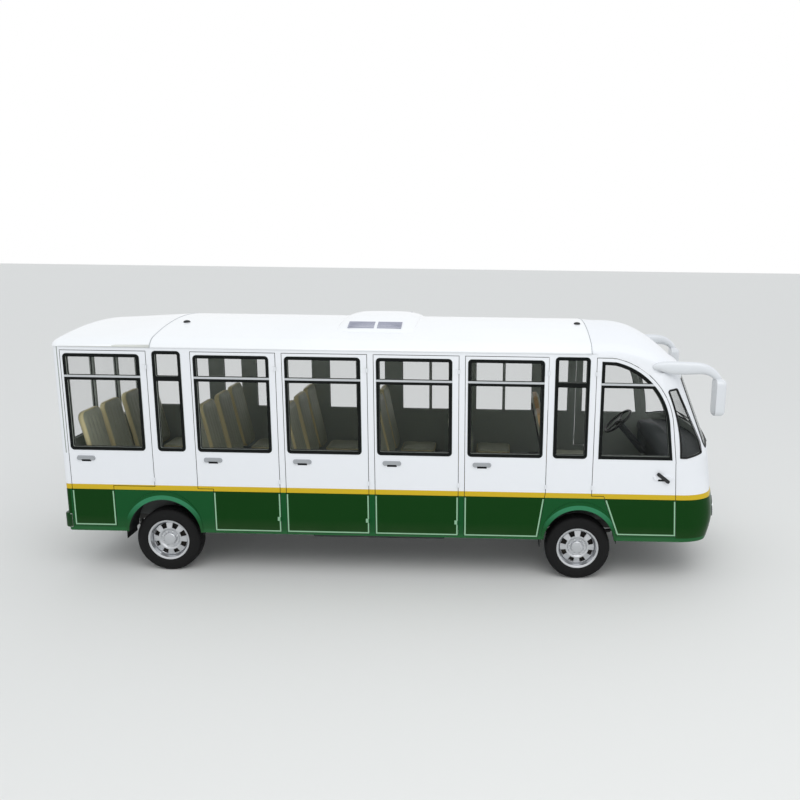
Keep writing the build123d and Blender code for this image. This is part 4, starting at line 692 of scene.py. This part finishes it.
cushion_pad = inflate("cushion", [s - 2 * SWELL for s in CUSHION], CUSHION_CORNER, 12 * MM, PRESSURE,
                      SWELL)
press_seams(cushion_pad, CUSHION_REACH)
back_pad = inflate("back", [s - 2 * SWELL for s in BACK], BACK_CORNER, 12.5 * MM, PRESSURE, SWELL)
press_seams(back_pad, BACK_REACH)
print("cushion", len(cushion_pad.faces), "faces, back", len(back_pad.faces), "faces")

# %% [markdown]
# The seats stand in six rows, at the places of their solids: the front row has two seats and the
# others four. The backs lean by twelve degrees, so the back's own length is turned upright and then
# tipped. A beige piping follows each pad's outline: a plane cuts the pad below its face, and the
# line of the cut becomes a thin tube.

# %% Copy the pads to every seat
ROWS = [-0.376, -1.253, -2.130, -3.007, -3.884, -4.915]
SEAT_YS = [(-0.430, 0.430)] + [(-0.690, -0.245, 0.245, 0.690)] * 5
REST_Z, SEAT_BASE, BACK_FOOT = 1.500, 0.840, 0.885
GAP = 0.010                                  # between a cushion and the back behind it
PIPE, BACK_LINE, CUSHION_LINE = 4.5 * MM, 19 * MM, 24 * MM   # radius, and depths below a pad's face
HALF_SEATS = 11                              # seats in one piece


def rest_x(station, z):
    """Middle of a leaning back at a height."""
    return front_axle + station + (REST_Z - z) * sin(RECLINE) / cos(RECLINE)


def copies(source, name, material, places):
    """Joins copies of a bmesh, one for each placing matrix, into one piece on the body."""
    mesh = bpy.data.meshes.new("template")
    source.to_mesh(mesh)
    joined = bmesh.new()
    for place in places:
        first = len(joined.verts)
        joined.from_mesh(mesh)
        joined.verts.ensure_lookup_table()
        bmesh.ops.transform(joined, matrix=place, verts=joined.verts[first:])
    bpy.data.meshes.remove(mesh)
    return place_piece(name, joined, material, "body", 60)


def keep_edges(bm, wanted):
    """Deletes all but some edges of a bmesh, with the faces and the points left loose."""
    keep = set(wanted)
    bmesh.ops.delete(bm, geom=[e for e in bm.edges if e not in keep], context="EDGES_FACES")
    bmesh.ops.delete(bm, geom=[v for v in bm.verts if not v.link_edges], context="VERTS")


def seam_loop(pad, height):
    """The line round a pad at a height, cut from its own surface and smoothed a little."""
    cut = pad.copy()
    everything = cut.verts[:] + cut.edges[:] + cut.faces[:]
    made = bmesh.ops.bisect_plane(cut, geom=everything, plane_co=(0, 0, height), plane_no=(0, 0, 1))
    keep_edges(cut, [e for e in made["geom_cut"] if isinstance(e, bmesh.types.BMEdge)])
    for _ in range(2):
        bmesh.ops.smooth_vert(cut, verts=cut.verts, factor=0.5, use_axis_x=True, use_axis_y=True,
                              use_axis_z=True)
    return cut


def tube(bm, radius, sides=1):
    """Turns a bmesh of edge loops into round tubes."""
    mesh = bpy.data.meshes.new("loops")
    bm.to_mesh(mesh)
    bm.free()
    line = bpy.data.objects.new("loops", mesh)
    scene.collection.objects.link(line)
    bpy.ops.object.select_all(action="DESELECT")
    line.select_set(True)
    bpy.context.view_layer.objects.active = line
    bpy.ops.object.convert(target="CURVE")
    line.data.bevel_depth = radius
    line.data.bevel_resolution = sides
    bpy.ops.object.convert(target="MESH")
    result = bmesh.new()
    result.from_mesh(line.data)
    bpy.data.objects.remove(line)
    bmesh.ops.remove_doubles(result, verts=result.verts, dist=0.01 * MM)
    return result


lean = Matrix.Rotation(-RECLINE, 4, "Y")
upright = Matrix(((0, 0, 1, 0), (0, 1, 0, 0), (1, 0, 0, 0), (0, 0, 0, 1)))
flip = Matrix.Diagonal((1, -1, 1, 1))
cushion_places, back_places = [], []
for station, seats in zip(ROWS, SEAT_YS):
    for y in seats:
        middle = rest_x(station, SEAT_BASE + CUSHION[2]) + BACK[2] / 2 + GAP + CUSHION[0] / 2
        cushion_places.append(Matrix.Translation((middle, y, SEAT_BASE + CUSHION[2] / 2)))
        foot = Vector((rest_x(station, BACK_FOOT), y, BACK_FOOT))
        half_up = BACK[0] / 2 * Vector((-sin(RECLINE), 0, cos(RECLINE)))
        back_places.append(Matrix.Translation(foot + half_up) @ lean @ upright @ flip)

for half, start in (("front", 0), ("rear", HALF_SEATS)):
    seats = slice(start, start + HALF_SEATS)
    cushions = copies(cushion_pad, f"seat_cushions_{half}", cushion_cover, cushion_places[seats])
    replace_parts(cushions, "seat_cushions")
    backs = copies(back_pad, f"seat_backs_{half}", back_cover, back_places[seats])
    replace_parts(backs, "seat_backs")
edge = tube(seam_loop(back_pad, BACK[2] / 2 - BACK_LINE), PIPE)
back_piping = copies(edge, "seat_back_piping", piping, back_places)
edge = tube(seam_loop(cushion_pad, CUSHION[2] / 2 - CUSHION_LINE), PIPE)
cushion_piping = copies(edge, "seat_cushion_piping", piping, cushion_places)
print("seats:", len(cushion_places))

# %% [markdown]
# ## Window seals
# Every pane sits in a black rubber seal. The glass solids already have the right outlines, so we
# take a merged copy of each, keep the sharp edges of its outer face, and run a thin tube along
# them. The windscreen and the quarter windows behind it have a much fatter seal.

# %% Seals round the glass
SEAL, REAR_SEAL, SCREEN_SEAL, BEZEL = 6 * MM, 7 * MM, 11 * MM, 7 * MM     # radii of the tubes
GLASS_FACE = 0.962                           # outer face of the side glass from the middle


def sharp_edges(bm, outer):
    """Deletes all but the sharp edges whose both ends pass a test."""
    bmesh.ops.dissolve_limit(bm, angle_limit=radians(0.5), verts=bm.verts, edges=bm.edges)
    wanted = [e for e in bm.edges if len(e.link_faces) == 2 and e.calc_face_angle(0) > 0.9
              and all(outer(v.co) for v in e.verts)]
    keep_edges(bm, wanted)
    return bm


for name in [n for n in nodes if n.startswith("glass_")]:
    loops = sharp_edges(merged(name), lambda co: abs(co.y) > GLASS_FACE)
    place_piece(name.replace("glass", "seal"), tube(loops, SEAL), rubber, body_of[name], 60)
print("door seals made")

# %% Fixed seals
QUARTER_X = front_axle + 0.7
side_loops = sharp_edges(merged("fixed_glass"), lambda co: abs(co.y) > GLASS_FACE and co.x < QUARTER_X)
place_piece("side_window_seals", tube(side_loops, SEAL), rubber, "body", 60)
REAR_GLASS_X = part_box("fixed_glass")[0].x + 1 * MM
rear_loops = sharp_edges(merged("fixed_glass"), lambda co: co.x < REAR_GLASS_X)
place_piece("rear_window_seals", tube(rear_loops, REAR_SEAL), rubber, "body", 60)
print("fixed seals made")

# %% [markdown]
# The front seals lie round glass that curves about the nose, so their outer face is told apart by
# its direction: it points away from a spot well inside the cabin, and the thin sides do not.

# %% Windscreen and quarter window seals
def outer_rim(bm, centre, part):
    """The sharp edges between the outward face of a pane and its thin sides."""
    bmesh.ops.delete(bm, geom=[v for v in bm.verts if not part(v.co)], context="VERTS")
    bmesh.ops.recalc_face_normals(bm, faces=bm.faces)
    wanted = set()
    for e in bm.edges:
        out = (sum((v.co for v in e.verts), Vector()) / 2 - centre).normalized()
        if len(e.link_faces) == 2 and e.calc_face_angle(0) > 0.8:
            if max(f.normal.dot(out) for f in e.link_faces) > 0.6:
                wanted.add(e)
    keep_edges(bm, wanted)
    return bm


screen_loops = outer_rim(merged("windscreen"), Vector((front_axle - 3, 0, 1.7)), lambda co: True)
place_piece("windscreen_seal", tube(screen_loops, SCREEN_SEAL), rubber, "body", 60)
for side, sign in (("left", 1), ("right", -1)):
    loops = outer_rim(merged("fixed_glass"), Vector((front_axle, 0, 1.6)),
                      lambda co: co.x > QUARTER_X and sign * co.y > 0)
    place_piece(f"quarter_seal_{side}", tube(loops, SCREEN_SEAL), rubber, "body", 60)
lamp_loops = merged("headlamps")
for vertex in lamp_loops.verts:
    fill_nose(vertex.co)
lamp_loops = outer_rim(lamp_loops, Vector((front_axle - 3, 0, 0.7)), lambda co: True)
place_piece("headlamp_bezels", tube(lamp_loops, BEZEL, 2), chrome, "body", 60)
print("front seals and lamp bezels made")

# %% [markdown]
# ## Tyres
# A radial tyre is a closed ring of rubber whose section bulges between two beads. We draw half the
# section from the bead over the shoulder to the middle of the tread, mirror it, and spin it round
# the wheel's axle. The long grooves are part of the section, and every other block of the shoulder
# is set in to leave the cross grooves. All four are copies of one.

# %% Tyre
HALF_SECTION = [(0.1920, 0.0640), (0.2010, 0.0745), (0.2090, 0.0800), (0.2220, 0.0872), (0.2500, 0.0921),
                (0.2780, 0.0912), (0.2980, 0.0872), (0.3115, 0.0800), (0.3195, 0.0710), (0.3228, 0.0590),
                (0.3234, 0.0510), (0.3160, 0.0495), (0.3160, 0.0440), (0.3241, 0.0425), (0.3247, 0.0215),
                (0.3172, 0.0200), (0.3172, 0.0145), (0.3249, 0.0130), (0.3250, 0.0000)]
TYRE_STEPS = 72
TREAD_REACH = 0.318                          # faces further out than this belong to the tread
SHOULDER, SHOULDER_HALF = 0.0640, 0.008      # cross grooves are cut in faces near here


def turn_of(point):
    """How far round the Y axis a point lies, from 0 to 1."""
    return atan2(point.x, point.z) / (2 * pi) % 1


def reach_of(point):
    """How far a point lies from the Y axis."""
    return (point.x ** 2 + point.z ** 2) ** 0.5


def ring(points, steps, closed=True):
    """Spins a section of (radius, distance across) round the Y axis."""
    bm = bmesh.new()
    verts = [bm.verts.new((0, across, radius)) for radius, across in points]
    edges = [bm.edges.new(pair) for pair in zip(verts, verts[1:])]
    if closed:
        edges.append(bm.edges.new((verts[-1], verts[0])))
    bmesh.ops.spin(bm, geom=verts + edges, cent=(0, 0, 0), axis=(0, 1, 0), angle=radians(360),
                   steps=steps, use_merge=True)
    bmesh.ops.remove_doubles(bm, verts=bm.verts, dist=0.02 * MM)
    bmesh.ops.recalc_face_normals(bm, faces=bm.faces)
    return bm


section = HALF_SECTION + [(r, -y) for r, y in reversed(HALF_SECTION[:-1])]
tyre = ring(section, TYRE_STEPS)
blocks = []
for face in tyre.faces:
    middle = face.calc_center_median()
    turn_step = int((turn_of(middle) + 0.001) * TYRE_STEPS)
    on_shoulder = reach_of(middle) > TREAD_REACH and abs(abs(middle.y) - SHOULDER) < SHOULDER_HALF
    if on_shoulder and turn_step % 2 == 0:
        blocks.append(face)
bmesh.ops.inset_individual(tyre, faces=blocks, thickness=2 * MM, depth=-4 * MM)
print("tyre:", len(tyre.faces), "faces,", len(blocks), "cross grooves")

# %% [markdown]
# ## Wheels
# The wheel is a rolled rim with a pressed disc welded in it, sprayed silver. The disc has eight
# windows near its edge. It is spun as one sheet: four faces out of every eight in the outer ring
# are set in a little, which turns the window's edge inward, and then taken out, and the sheet gets
# its thickness last. Behind it stands a dark brake drum, so that the windows read dark.

# %% Rim, disc and hub
RIM_LINE = [(0.2085, 0.0835), (0.2030, 0.0822), (0.1960, 0.0812), (0.1900, 0.0770), (0.1872, 0.0680),
            (0.1855, 0.0560), (0.1800, 0.0440), (0.1780, 0.0200), (0.1800, -0.0440), (0.1855, -0.0560),
            (0.1872, -0.0680), (0.1900, -0.0770), (0.1960, -0.0812), (0.2030, -0.0822), (0.2085, -0.0835)]
DISC_LINE = [(0.1790, 0.0180), (0.1765, 0.0300), (0.1710, 0.0390), (0.1160, 0.0500), (0.1080, 0.0512),
             (0.0980, 0.0470), (0.0900, 0.0380), (0.0630, 0.0345)]
HUB_LINE = [(0.0640, -0.0800), (0.0640, 0.0340), (0.0600, 0.0560), (0.0540, 0.0615), (0.0300, 0.0640),
            (0.0005, 0.0650)]
DRUM_LINE = [(0.1640, -0.0300), (0.1640, 0.0050), (0.1560, 0.0110), (0.0660, 0.0130)]
SHEET = 3.5 * MM
SPOKES, WHEEL_STEPS = 8, 64
WINDOW_IN, WINDOW_OUT = 0.125, 0.160         # a window's faces lie between these reaches


def close_ends(bm):
    """Fills the open ends of a shell and turns its faces outwards."""
    bmesh.ops.holes_fill(bm, edges=[e for e in bm.edges if e.is_boundary], sides=0)
    bmesh.ops.recalc_face_normals(bm, faces=bm.faces)


def sheet_ring(points, thickness):
    """A spun sheet of metal with a real thickness."""
    bm = ring(points, WHEEL_STEPS, closed=False)
    bmesh.ops.solidify(bm, geom=bm.faces, thickness=thickness)
    return bm


disc = ring(DISC_LINE, WHEEL_STEPS, closed=False)
per_spoke = WHEEL_STEPS // SPOKES
windows = []
for face in disc.faces:
    middle = face.calc_center_median()
    turn_step = int(turn_of(middle) * WHEEL_STEPS + 0.001)
    if WINDOW_IN < reach_of(middle) < WINDOW_OUT and 2 <= turn_step % per_spoke <= 5:
        windows.append(face)
bmesh.ops.inset_region(disc, faces=windows, thickness=3 * MM, depth=-5 * MM, use_even_offset=True)
bmesh.ops.delete(disc, geom=windows, context="FACES")
bmesh.ops.solidify(disc, geom=disc.faces, thickness=SHEET)
rim = sheet_ring(RIM_LINE, SHEET)
drum = sheet_ring(DRUM_LINE, 5 * MM)
hub = ring(HUB_LINE, 48, closed=False)
close_ends(hub)
print("disc windows:", len(windows), "faces taken out")

# %% Wheel nuts and copies for the four corners
NUT_CIRCLE, NUTS = 0.0770, 8
NUT_OUT, NUT_RADIUS, NUT_DEPTH = 0.042, 0.0105, 0.016
nuts = bmesh.new()
for i in range(NUTS):
    around = Matrix.Rotation(radians(360 * i / NUTS + 22.5), 4, "Y")
    spot = around @ Matrix.Translation((0, NUT_OUT, NUT_CIRCLE))
    bmesh.ops.create_cone(nuts, cap_ends=True, segments=6, radius1=NUT_RADIUS, radius2=NUT_RADIUS,
                          depth=NUT_DEPTH, matrix=spot @ Matrix.Rotation(radians(-90), 4, "X"))
bevelled(nuts, nuts.edges, 1.2 * MM, 1)


def at_corner(source, name, corner, material, angle=32):
    """A copy of a wheel part, turned to face outwards at one corner of the bus."""
    low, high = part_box("tyre_" + corner)
    middle = (low + high) / 2
    copy = source.copy()
    if middle.y < 0:
        half_turn = Matrix.Rotation(radians(180), 3, "Z")
        bmesh.ops.rotate(copy, cent=(0, 0, 0), matrix=half_turn, verts=copy.verts)
    bmesh.ops.translate(copy, vec=middle, verts=copy.verts)
    return place_piece(f"{name}_{corner}", copy, material, body_of["wheel_" + corner], angle)


for corner in CORNERS:
    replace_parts(at_corner(tyre, "treaded_tyre", corner, tread_rubber, 40), "tyre_" + corner)
    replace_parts(at_corner(disc, "wheel_disc", corner, silver), "wheel_" + corner)
    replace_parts(at_corner(rim, "wheel_rim", corner, silver), "wheel_" + corner)
    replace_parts(at_corner(hub, "wheel_hub", corner, silver), "wheel_" + corner)
    at_corner(drum, "brake_drum", corner, cast_iron)
    at_corner(nuts, "wheel_nuts", corner, chrome)
print("wheels made:", len(CORNERS))

# %% [markdown]
# ## Arch liners and mud flaps
# A liner of black plastic closes each wheel arch from the inside, so that no daylight shows past
# the tyre, and a rubber flap hangs behind it. The liner is an arc spun about the wheel's middle.

# %% Liners and flaps
LINERS = [("front", 0.405, 0.372, 0.72), ("rear", 0.412, 0.386, 0.70)]   # height, radius, inner edge
LINER_EDGE = 0.971
FLAP_SIZE, FLAP_BACK, FLAP_Y, FLAP_Z = (0.006, 0.225, 0.15), 0.012, 0.840, 0.425
liner_mesh = bmesh.new()
flap_mesh = bmesh.new()
for end, height, radius, inner in LINERS:
    station = sum(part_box(f"tyre_{end}_right"), Vector()).x / 2
    for sign in (-1, 1):
        first = len(liner_mesh.verts)
        line = [liner_mesh.verts.new((radius, sign * y, 0)) for y in (inner, LINER_EDGE)]
        edge = liner_mesh.edges.new(line)
        bmesh.ops.spin(liner_mesh, geom=line + [edge], cent=(0, 0, 0), axis=(0, 1, 0),
                       angle=radians(-180), steps=24)
        liner_mesh.verts.ensure_lookup_table()
        bmesh.ops.translate(liner_mesh, vec=(station, 0, height), verts=liner_mesh.verts[first:])
        made = bmesh.ops.create_cube(flap_mesh, size=1)["verts"]
        bmesh.ops.scale(flap_mesh, vec=FLAP_SIZE, verts=made)
        spot = (station - radius - FLAP_BACK, sign * FLAP_Y, FLAP_Z)
        bmesh.ops.translate(flap_mesh, vec=spot, verts=made)
bmesh.ops.recalc_face_normals(liner_mesh, faces=liner_mesh.faces)
bmesh.ops.solidify(liner_mesh, geom=liner_mesh.faces, thickness=3 * MM)
bevelled(flap_mesh, flap_mesh.edges, 2 * MM, 2)
place_piece("arch_liners", liner_mesh, trim_plastic, "body")
place_piece("mud_flaps", flap_mesh, rubber, "body")
print("liners and flaps made")

# %% [markdown]
# ## Mirrors
# Coach mirrors hang from horn-shaped arms of moulded plastic, thick where they leave the pillar and
# thin at the head. The horn is a row of ovals, each square to the arm's line, joined by bridges.
# The head is a rounded housing with a narrow lip round its back face, where the silvered glass stands.

# %% Mirror arms and heads
HORN = [(0.625, 2.180, 0.026, 0.022), (0.690, 2.196, 0.040, 0.030), (0.780, 2.182, 0.066, 0.035),
        (0.890, 2.180, 0.066, 0.036), (1.000, 2.183, 0.062, 0.035), (1.090, 2.184, 0.056, 0.033),
        (1.165, 2.162, 0.045, 0.031), (1.228, 2.115, 0.037, 0.029), (1.262, 2.055, 0.034, 0.028)]
HEAD_SPOT, HEAD_SIZE = (1.262, 1.010, 1.915), (0.096, 0.190, 0.350)
HEAD_CORNER, HEAD_ROUND = 0.055, 0.040       # radii of the head's corners and of its front rim
ARM_FOOT_Y, ARM_LEAN, LEAN_RUN = 0.975, 0.035, 0.45


def horn_y(station):
    """The arm leans outwards from the pillar to the head."""
    return ARM_FOOT_Y + ARM_LEAN * min(1, (station - HORN[0][0]) / LEAN_RUN)


for side, sign in (("left", 1), ("right", -1)):
    arm = bmesh.new()
    loops = []
    for i, (station, z, tall, wide) in enumerate(HORN):
        before, after = HORN[max(0, i - 1)], HORN[min(len(HORN) - 1, i + 1)]
        heading = Vector((after[0] - before[0], 0, after[1] - before[1]))
        slope = heading.to_track_quat("Z", "Y").to_matrix().to_4x4()
        spot = Matrix.Translation((front_axle + station, sign * horn_y(station), z)) @ slope
        oval = spot @ Matrix.Diagonal((wide, tall, 1, 1))
        made = bmesh.ops.create_circle(arm, segments=12, radius=1, matrix=oval)["verts"]
        loops.append({e for v in made for e in v.link_edges})
    for near, far in zip(loops, loops[1:]):
        bmesh.ops.bridge_loops(arm, edges=list(near | far))
    close_ends(arm)
    horn = place_piece(f"mirror_arm_{side}", arm, mirror_shell, "body", 80)
    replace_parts(horn, "mirrors")
    smooth = horn.modifiers.new("smooth", "SUBSURF")
    smooth.levels = smooth.render_levels = 2
    head = bmesh.new()
    bmesh.ops.create_cube(head, size=1)
    bmesh.ops.scale(head, vec=HEAD_SIZE, verts=head.verts)
    along = [e for e in head.edges if abs((e.verts[0].co - e.verts[1].co).x) > 0.5 * HEAD_SIZE[0]]
    bevelled(head, along, HEAD_CORNER, 6)
    front = [e for e in head.edges if min(v.co.x for v in e.verts) > 0.49 * HEAD_SIZE[0]]
    bevelled(head, front, HEAD_ROUND, 5)
    back = [f for f in head.faces if f.normal.x < -0.9]
    bmesh.ops.inset_region(head, faces=back, thickness=6 * MM, depth=0)
    spot = (front_axle + HEAD_SPOT[0], sign * HEAD_SPOT[1], HEAD_SPOT[2])
    bmesh.ops.translate(head, vec=spot, verts=head.verts)
    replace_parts(place_piece(f"mirror_head_{side}", head, mirror_shell, "body", 50), "mirrors")
print("mirrors made")

# %% [markdown]
# ## Roof ventilator
# A broad, low ventilator stands on the roof like a pillow, with slats low on its two sides. It is a
# grid laid on the roof: every point drops on to the roof below it, and then rises by a height that
# falls off steeply at the border. The slats are thin bars in two groups that lie on those slopes.

# %% Ventilator housing
pod_low, pod_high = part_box("roof_pod")
pod_middle = (pod_low + pod_high) / 2
VENT_HALF_X, VENT_HALF_Y, VENT_RISE = 0.395, 0.690, 0.058
VENT_SUNK = 4 * MM                           # its border is sunk into the roof by this much
roof_tree = BVHTree.FromBMesh(merged("roof_panel"))


def vent_height(x, y):
    """Height of the ventilator's surface above a point, from its middle."""
    on_roof = roof_tree.ray_cast(Vector((pod_middle.x + x, y, 3)), Vector((0, 0, -1)))[0].z
    steep_x = 1 - abs(x / VENT_HALF_X) ** 4
    steep_y = 1 - abs(y / VENT_HALF_Y) ** 5
    return on_roof - VENT_SUNK + VENT_RISE * (steep_x * steep_y) ** 0.8


vent = bmesh.new()
bmesh.ops.create_grid(vent, x_segments=30, y_segments=44, size=1)
for vertex in vent.verts:
    x, y = vertex.co.x * VENT_HALF_X, vertex.co.y * VENT_HALF_Y
    vertex.co = (pod_middle.x + x, y, vent_height(x, y))
bmesh.ops.solidify(vent, geom=vent.faces, thickness=3 * MM)
bmesh.ops.recalc_face_normals(vent, faces=vent.faces)
housing = place_piece("roof_vent_housing", vent, roof_gelcoat, "body", 60)
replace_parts(housing, "roof_pod")
print("ventilator made")

# %% Ventilator slats
SLAT_ROWS = (0.500, 0.530, 0.560, 0.590, 0.620)
SLAT_SPANS = ((-0.275, -0.015), (0.015, 0.255))
SLAT_WIDE, SLAT_THICK, SLAT_LIFT = 0.020, 0.005, 2.5 * MM
slat_finish = plain_finish("vent_slats", 2 * MM, 0.05 * MM, Base_Color=linear("#9FA1B0"), Roughness=0.5)
slats = bmesh.new()
for sign in (-1, 1):
    for start, end in SLAT_SPANS:
        for across in SLAT_ROWS:
            middle = (start + end) / 2
            near = vent_height(middle, sign * (across + SLAT_WIDE / 2))
            far = vent_height(middle, sign * (across - SLAT_WIDE / 2))
            made = bmesh.ops.create_cube(slats, size=1)["verts"]
            bmesh.ops.scale(slats, vec=(end - start, SLAT_WIDE, SLAT_THICK), verts=made)
            tilt = sign * atan2(near - far, SLAT_WIDE)
            bmesh.ops.rotate(slats, cent=(0, 0, 0), matrix=Matrix.Rotation(tilt, 3, "X"), verts=made)
            spot = (pod_middle.x + middle, sign * across, (near + far) / 2 + SLAT_LIFT)
            bmesh.ops.translate(slats, vec=spot, verts=made)
bevelled(slats, slats.edges, 1.2 * MM, 1)
place_piece("roof_vent_slats", slats, slat_finish, "body")
print("slats made:", 4 * len(SLAT_ROWS))

# %% Roof caps
CAP_LINE = [(0.034, -0.006), (0.034, 0.006), (0.028, 0.013), (0.014, 0.018), (0.0005, 0.019)]
CAP_SPOTS = ((-3.983, -0.422), (-0.022, -0.249))   # station and distance from the middle
caps = bmesh.new()
cap = ring(CAP_LINE, 20, closed=False)
bmesh.ops.rotate(cap, cent=(0, 0, 0), matrix=Matrix.Rotation(radians(90), 3, "X"), verts=cap.verts)
cap_mesh = bpy.data.meshes.new("cap")
cap.to_mesh(cap_mesh)
cap.free()
for station, across in CAP_SPOTS:
    first = len(caps.verts)
    caps.from_mesh(cap_mesh)
    caps.verts.ensure_lookup_table()
    foot = roof_tree.ray_cast(Vector((front_axle + station, across, 3)), Vector((0, 0, -1)))[0]
    bmesh.ops.translate(caps, vec=foot, verts=caps.verts[first:])
close_ends(caps)
place_piece("roof_caps", caps, trim_plastic, "body")
print("roof caps made")

# %% [markdown]
# ## Roof joints and door levers
# The roof mouldings meet at two joints that are filled with a grey sealant. Each is a narrow band
# cut out of a copy of the roof and lifted by its own thickness. The front doors have a dark lever
# that slants across their handle plates.

# %% Sealant bands
SEALANT_STATIONS = (("rear", -4.146), ("front", 0.060))
SEALANT_HALF, SEALANT_THICK = 0.007, 2 * MM
sealant = plain_finish("grey_sealant", 3 * MM, 0.1 * MM, Base_Color=linear("#B4B8BA"), Roughness=0.6)
for name, station in SEALANT_STATIONS:
    band = merged("roof_panel")
    for shift, inner, outer in ((-SEALANT_HALF, True, False), (SEALANT_HALF, False, True)):
        geometry = band.verts[:] + band.edges[:] + band.faces[:]
        bmesh.ops.bisect_plane(band, geom=geometry, plane_co=(front_axle + station + shift, 0, 0),
                               plane_no=(1, 0, 0), clear_inner=inner, clear_outer=outer)
    inside = []
    for face in band.faces:
        middle = face.calc_center_median()
        if face.normal.y * middle.y + face.normal.z * (middle.z - 1.2) < 0.3:
            inside.append(face)
    bmesh.ops.delete(band, geom=inside, context="FACES")
    print(name, "sealant:", len(band.faces), "faces")
    bmesh.ops.solidify(band, geom=band.faces, thickness=-SEALANT_THICK)
    place_piece(f"roof_sealant_{name}", band, sealant, "body")

# %% Levers
LEVER_X, LEVER_Y, LEVER_Z, LEVER_TILT = 0.792, 0.999, 1.100, radians(38)
LEVER_SIZE, LEVER_ROUND = (0.150, 0.012, 0.034), 0.015
for side, sign in (("left", 1), ("right", -1)):
    lever = bmesh.new()
    bmesh.ops.create_cube(lever, size=1)
    bmesh.ops.scale(lever, vec=LEVER_SIZE, verts=lever.verts)
    through = [e for e in lever.edges if abs((e.verts[0].co - e.verts[1].co).y) > 0.5 * LEVER_SIZE[1]]
    bevelled(lever, through, LEVER_ROUND, 5)
    slant = Matrix.Rotation(LEVER_TILT, 3, "Y")
    bmesh.ops.rotate(lever, cent=(0, 0, 0), matrix=slant, verts=lever.verts)
    spot = (front_axle + LEVER_X, sign * LEVER_Y, LEVER_Z)
    bmesh.ops.translate(lever, vec=spot, verts=lever.verts)
    place_piece(f"door_lever_{side}", lever, trim_plastic, body_of[f"door_{side}_front"])
print("levers made")
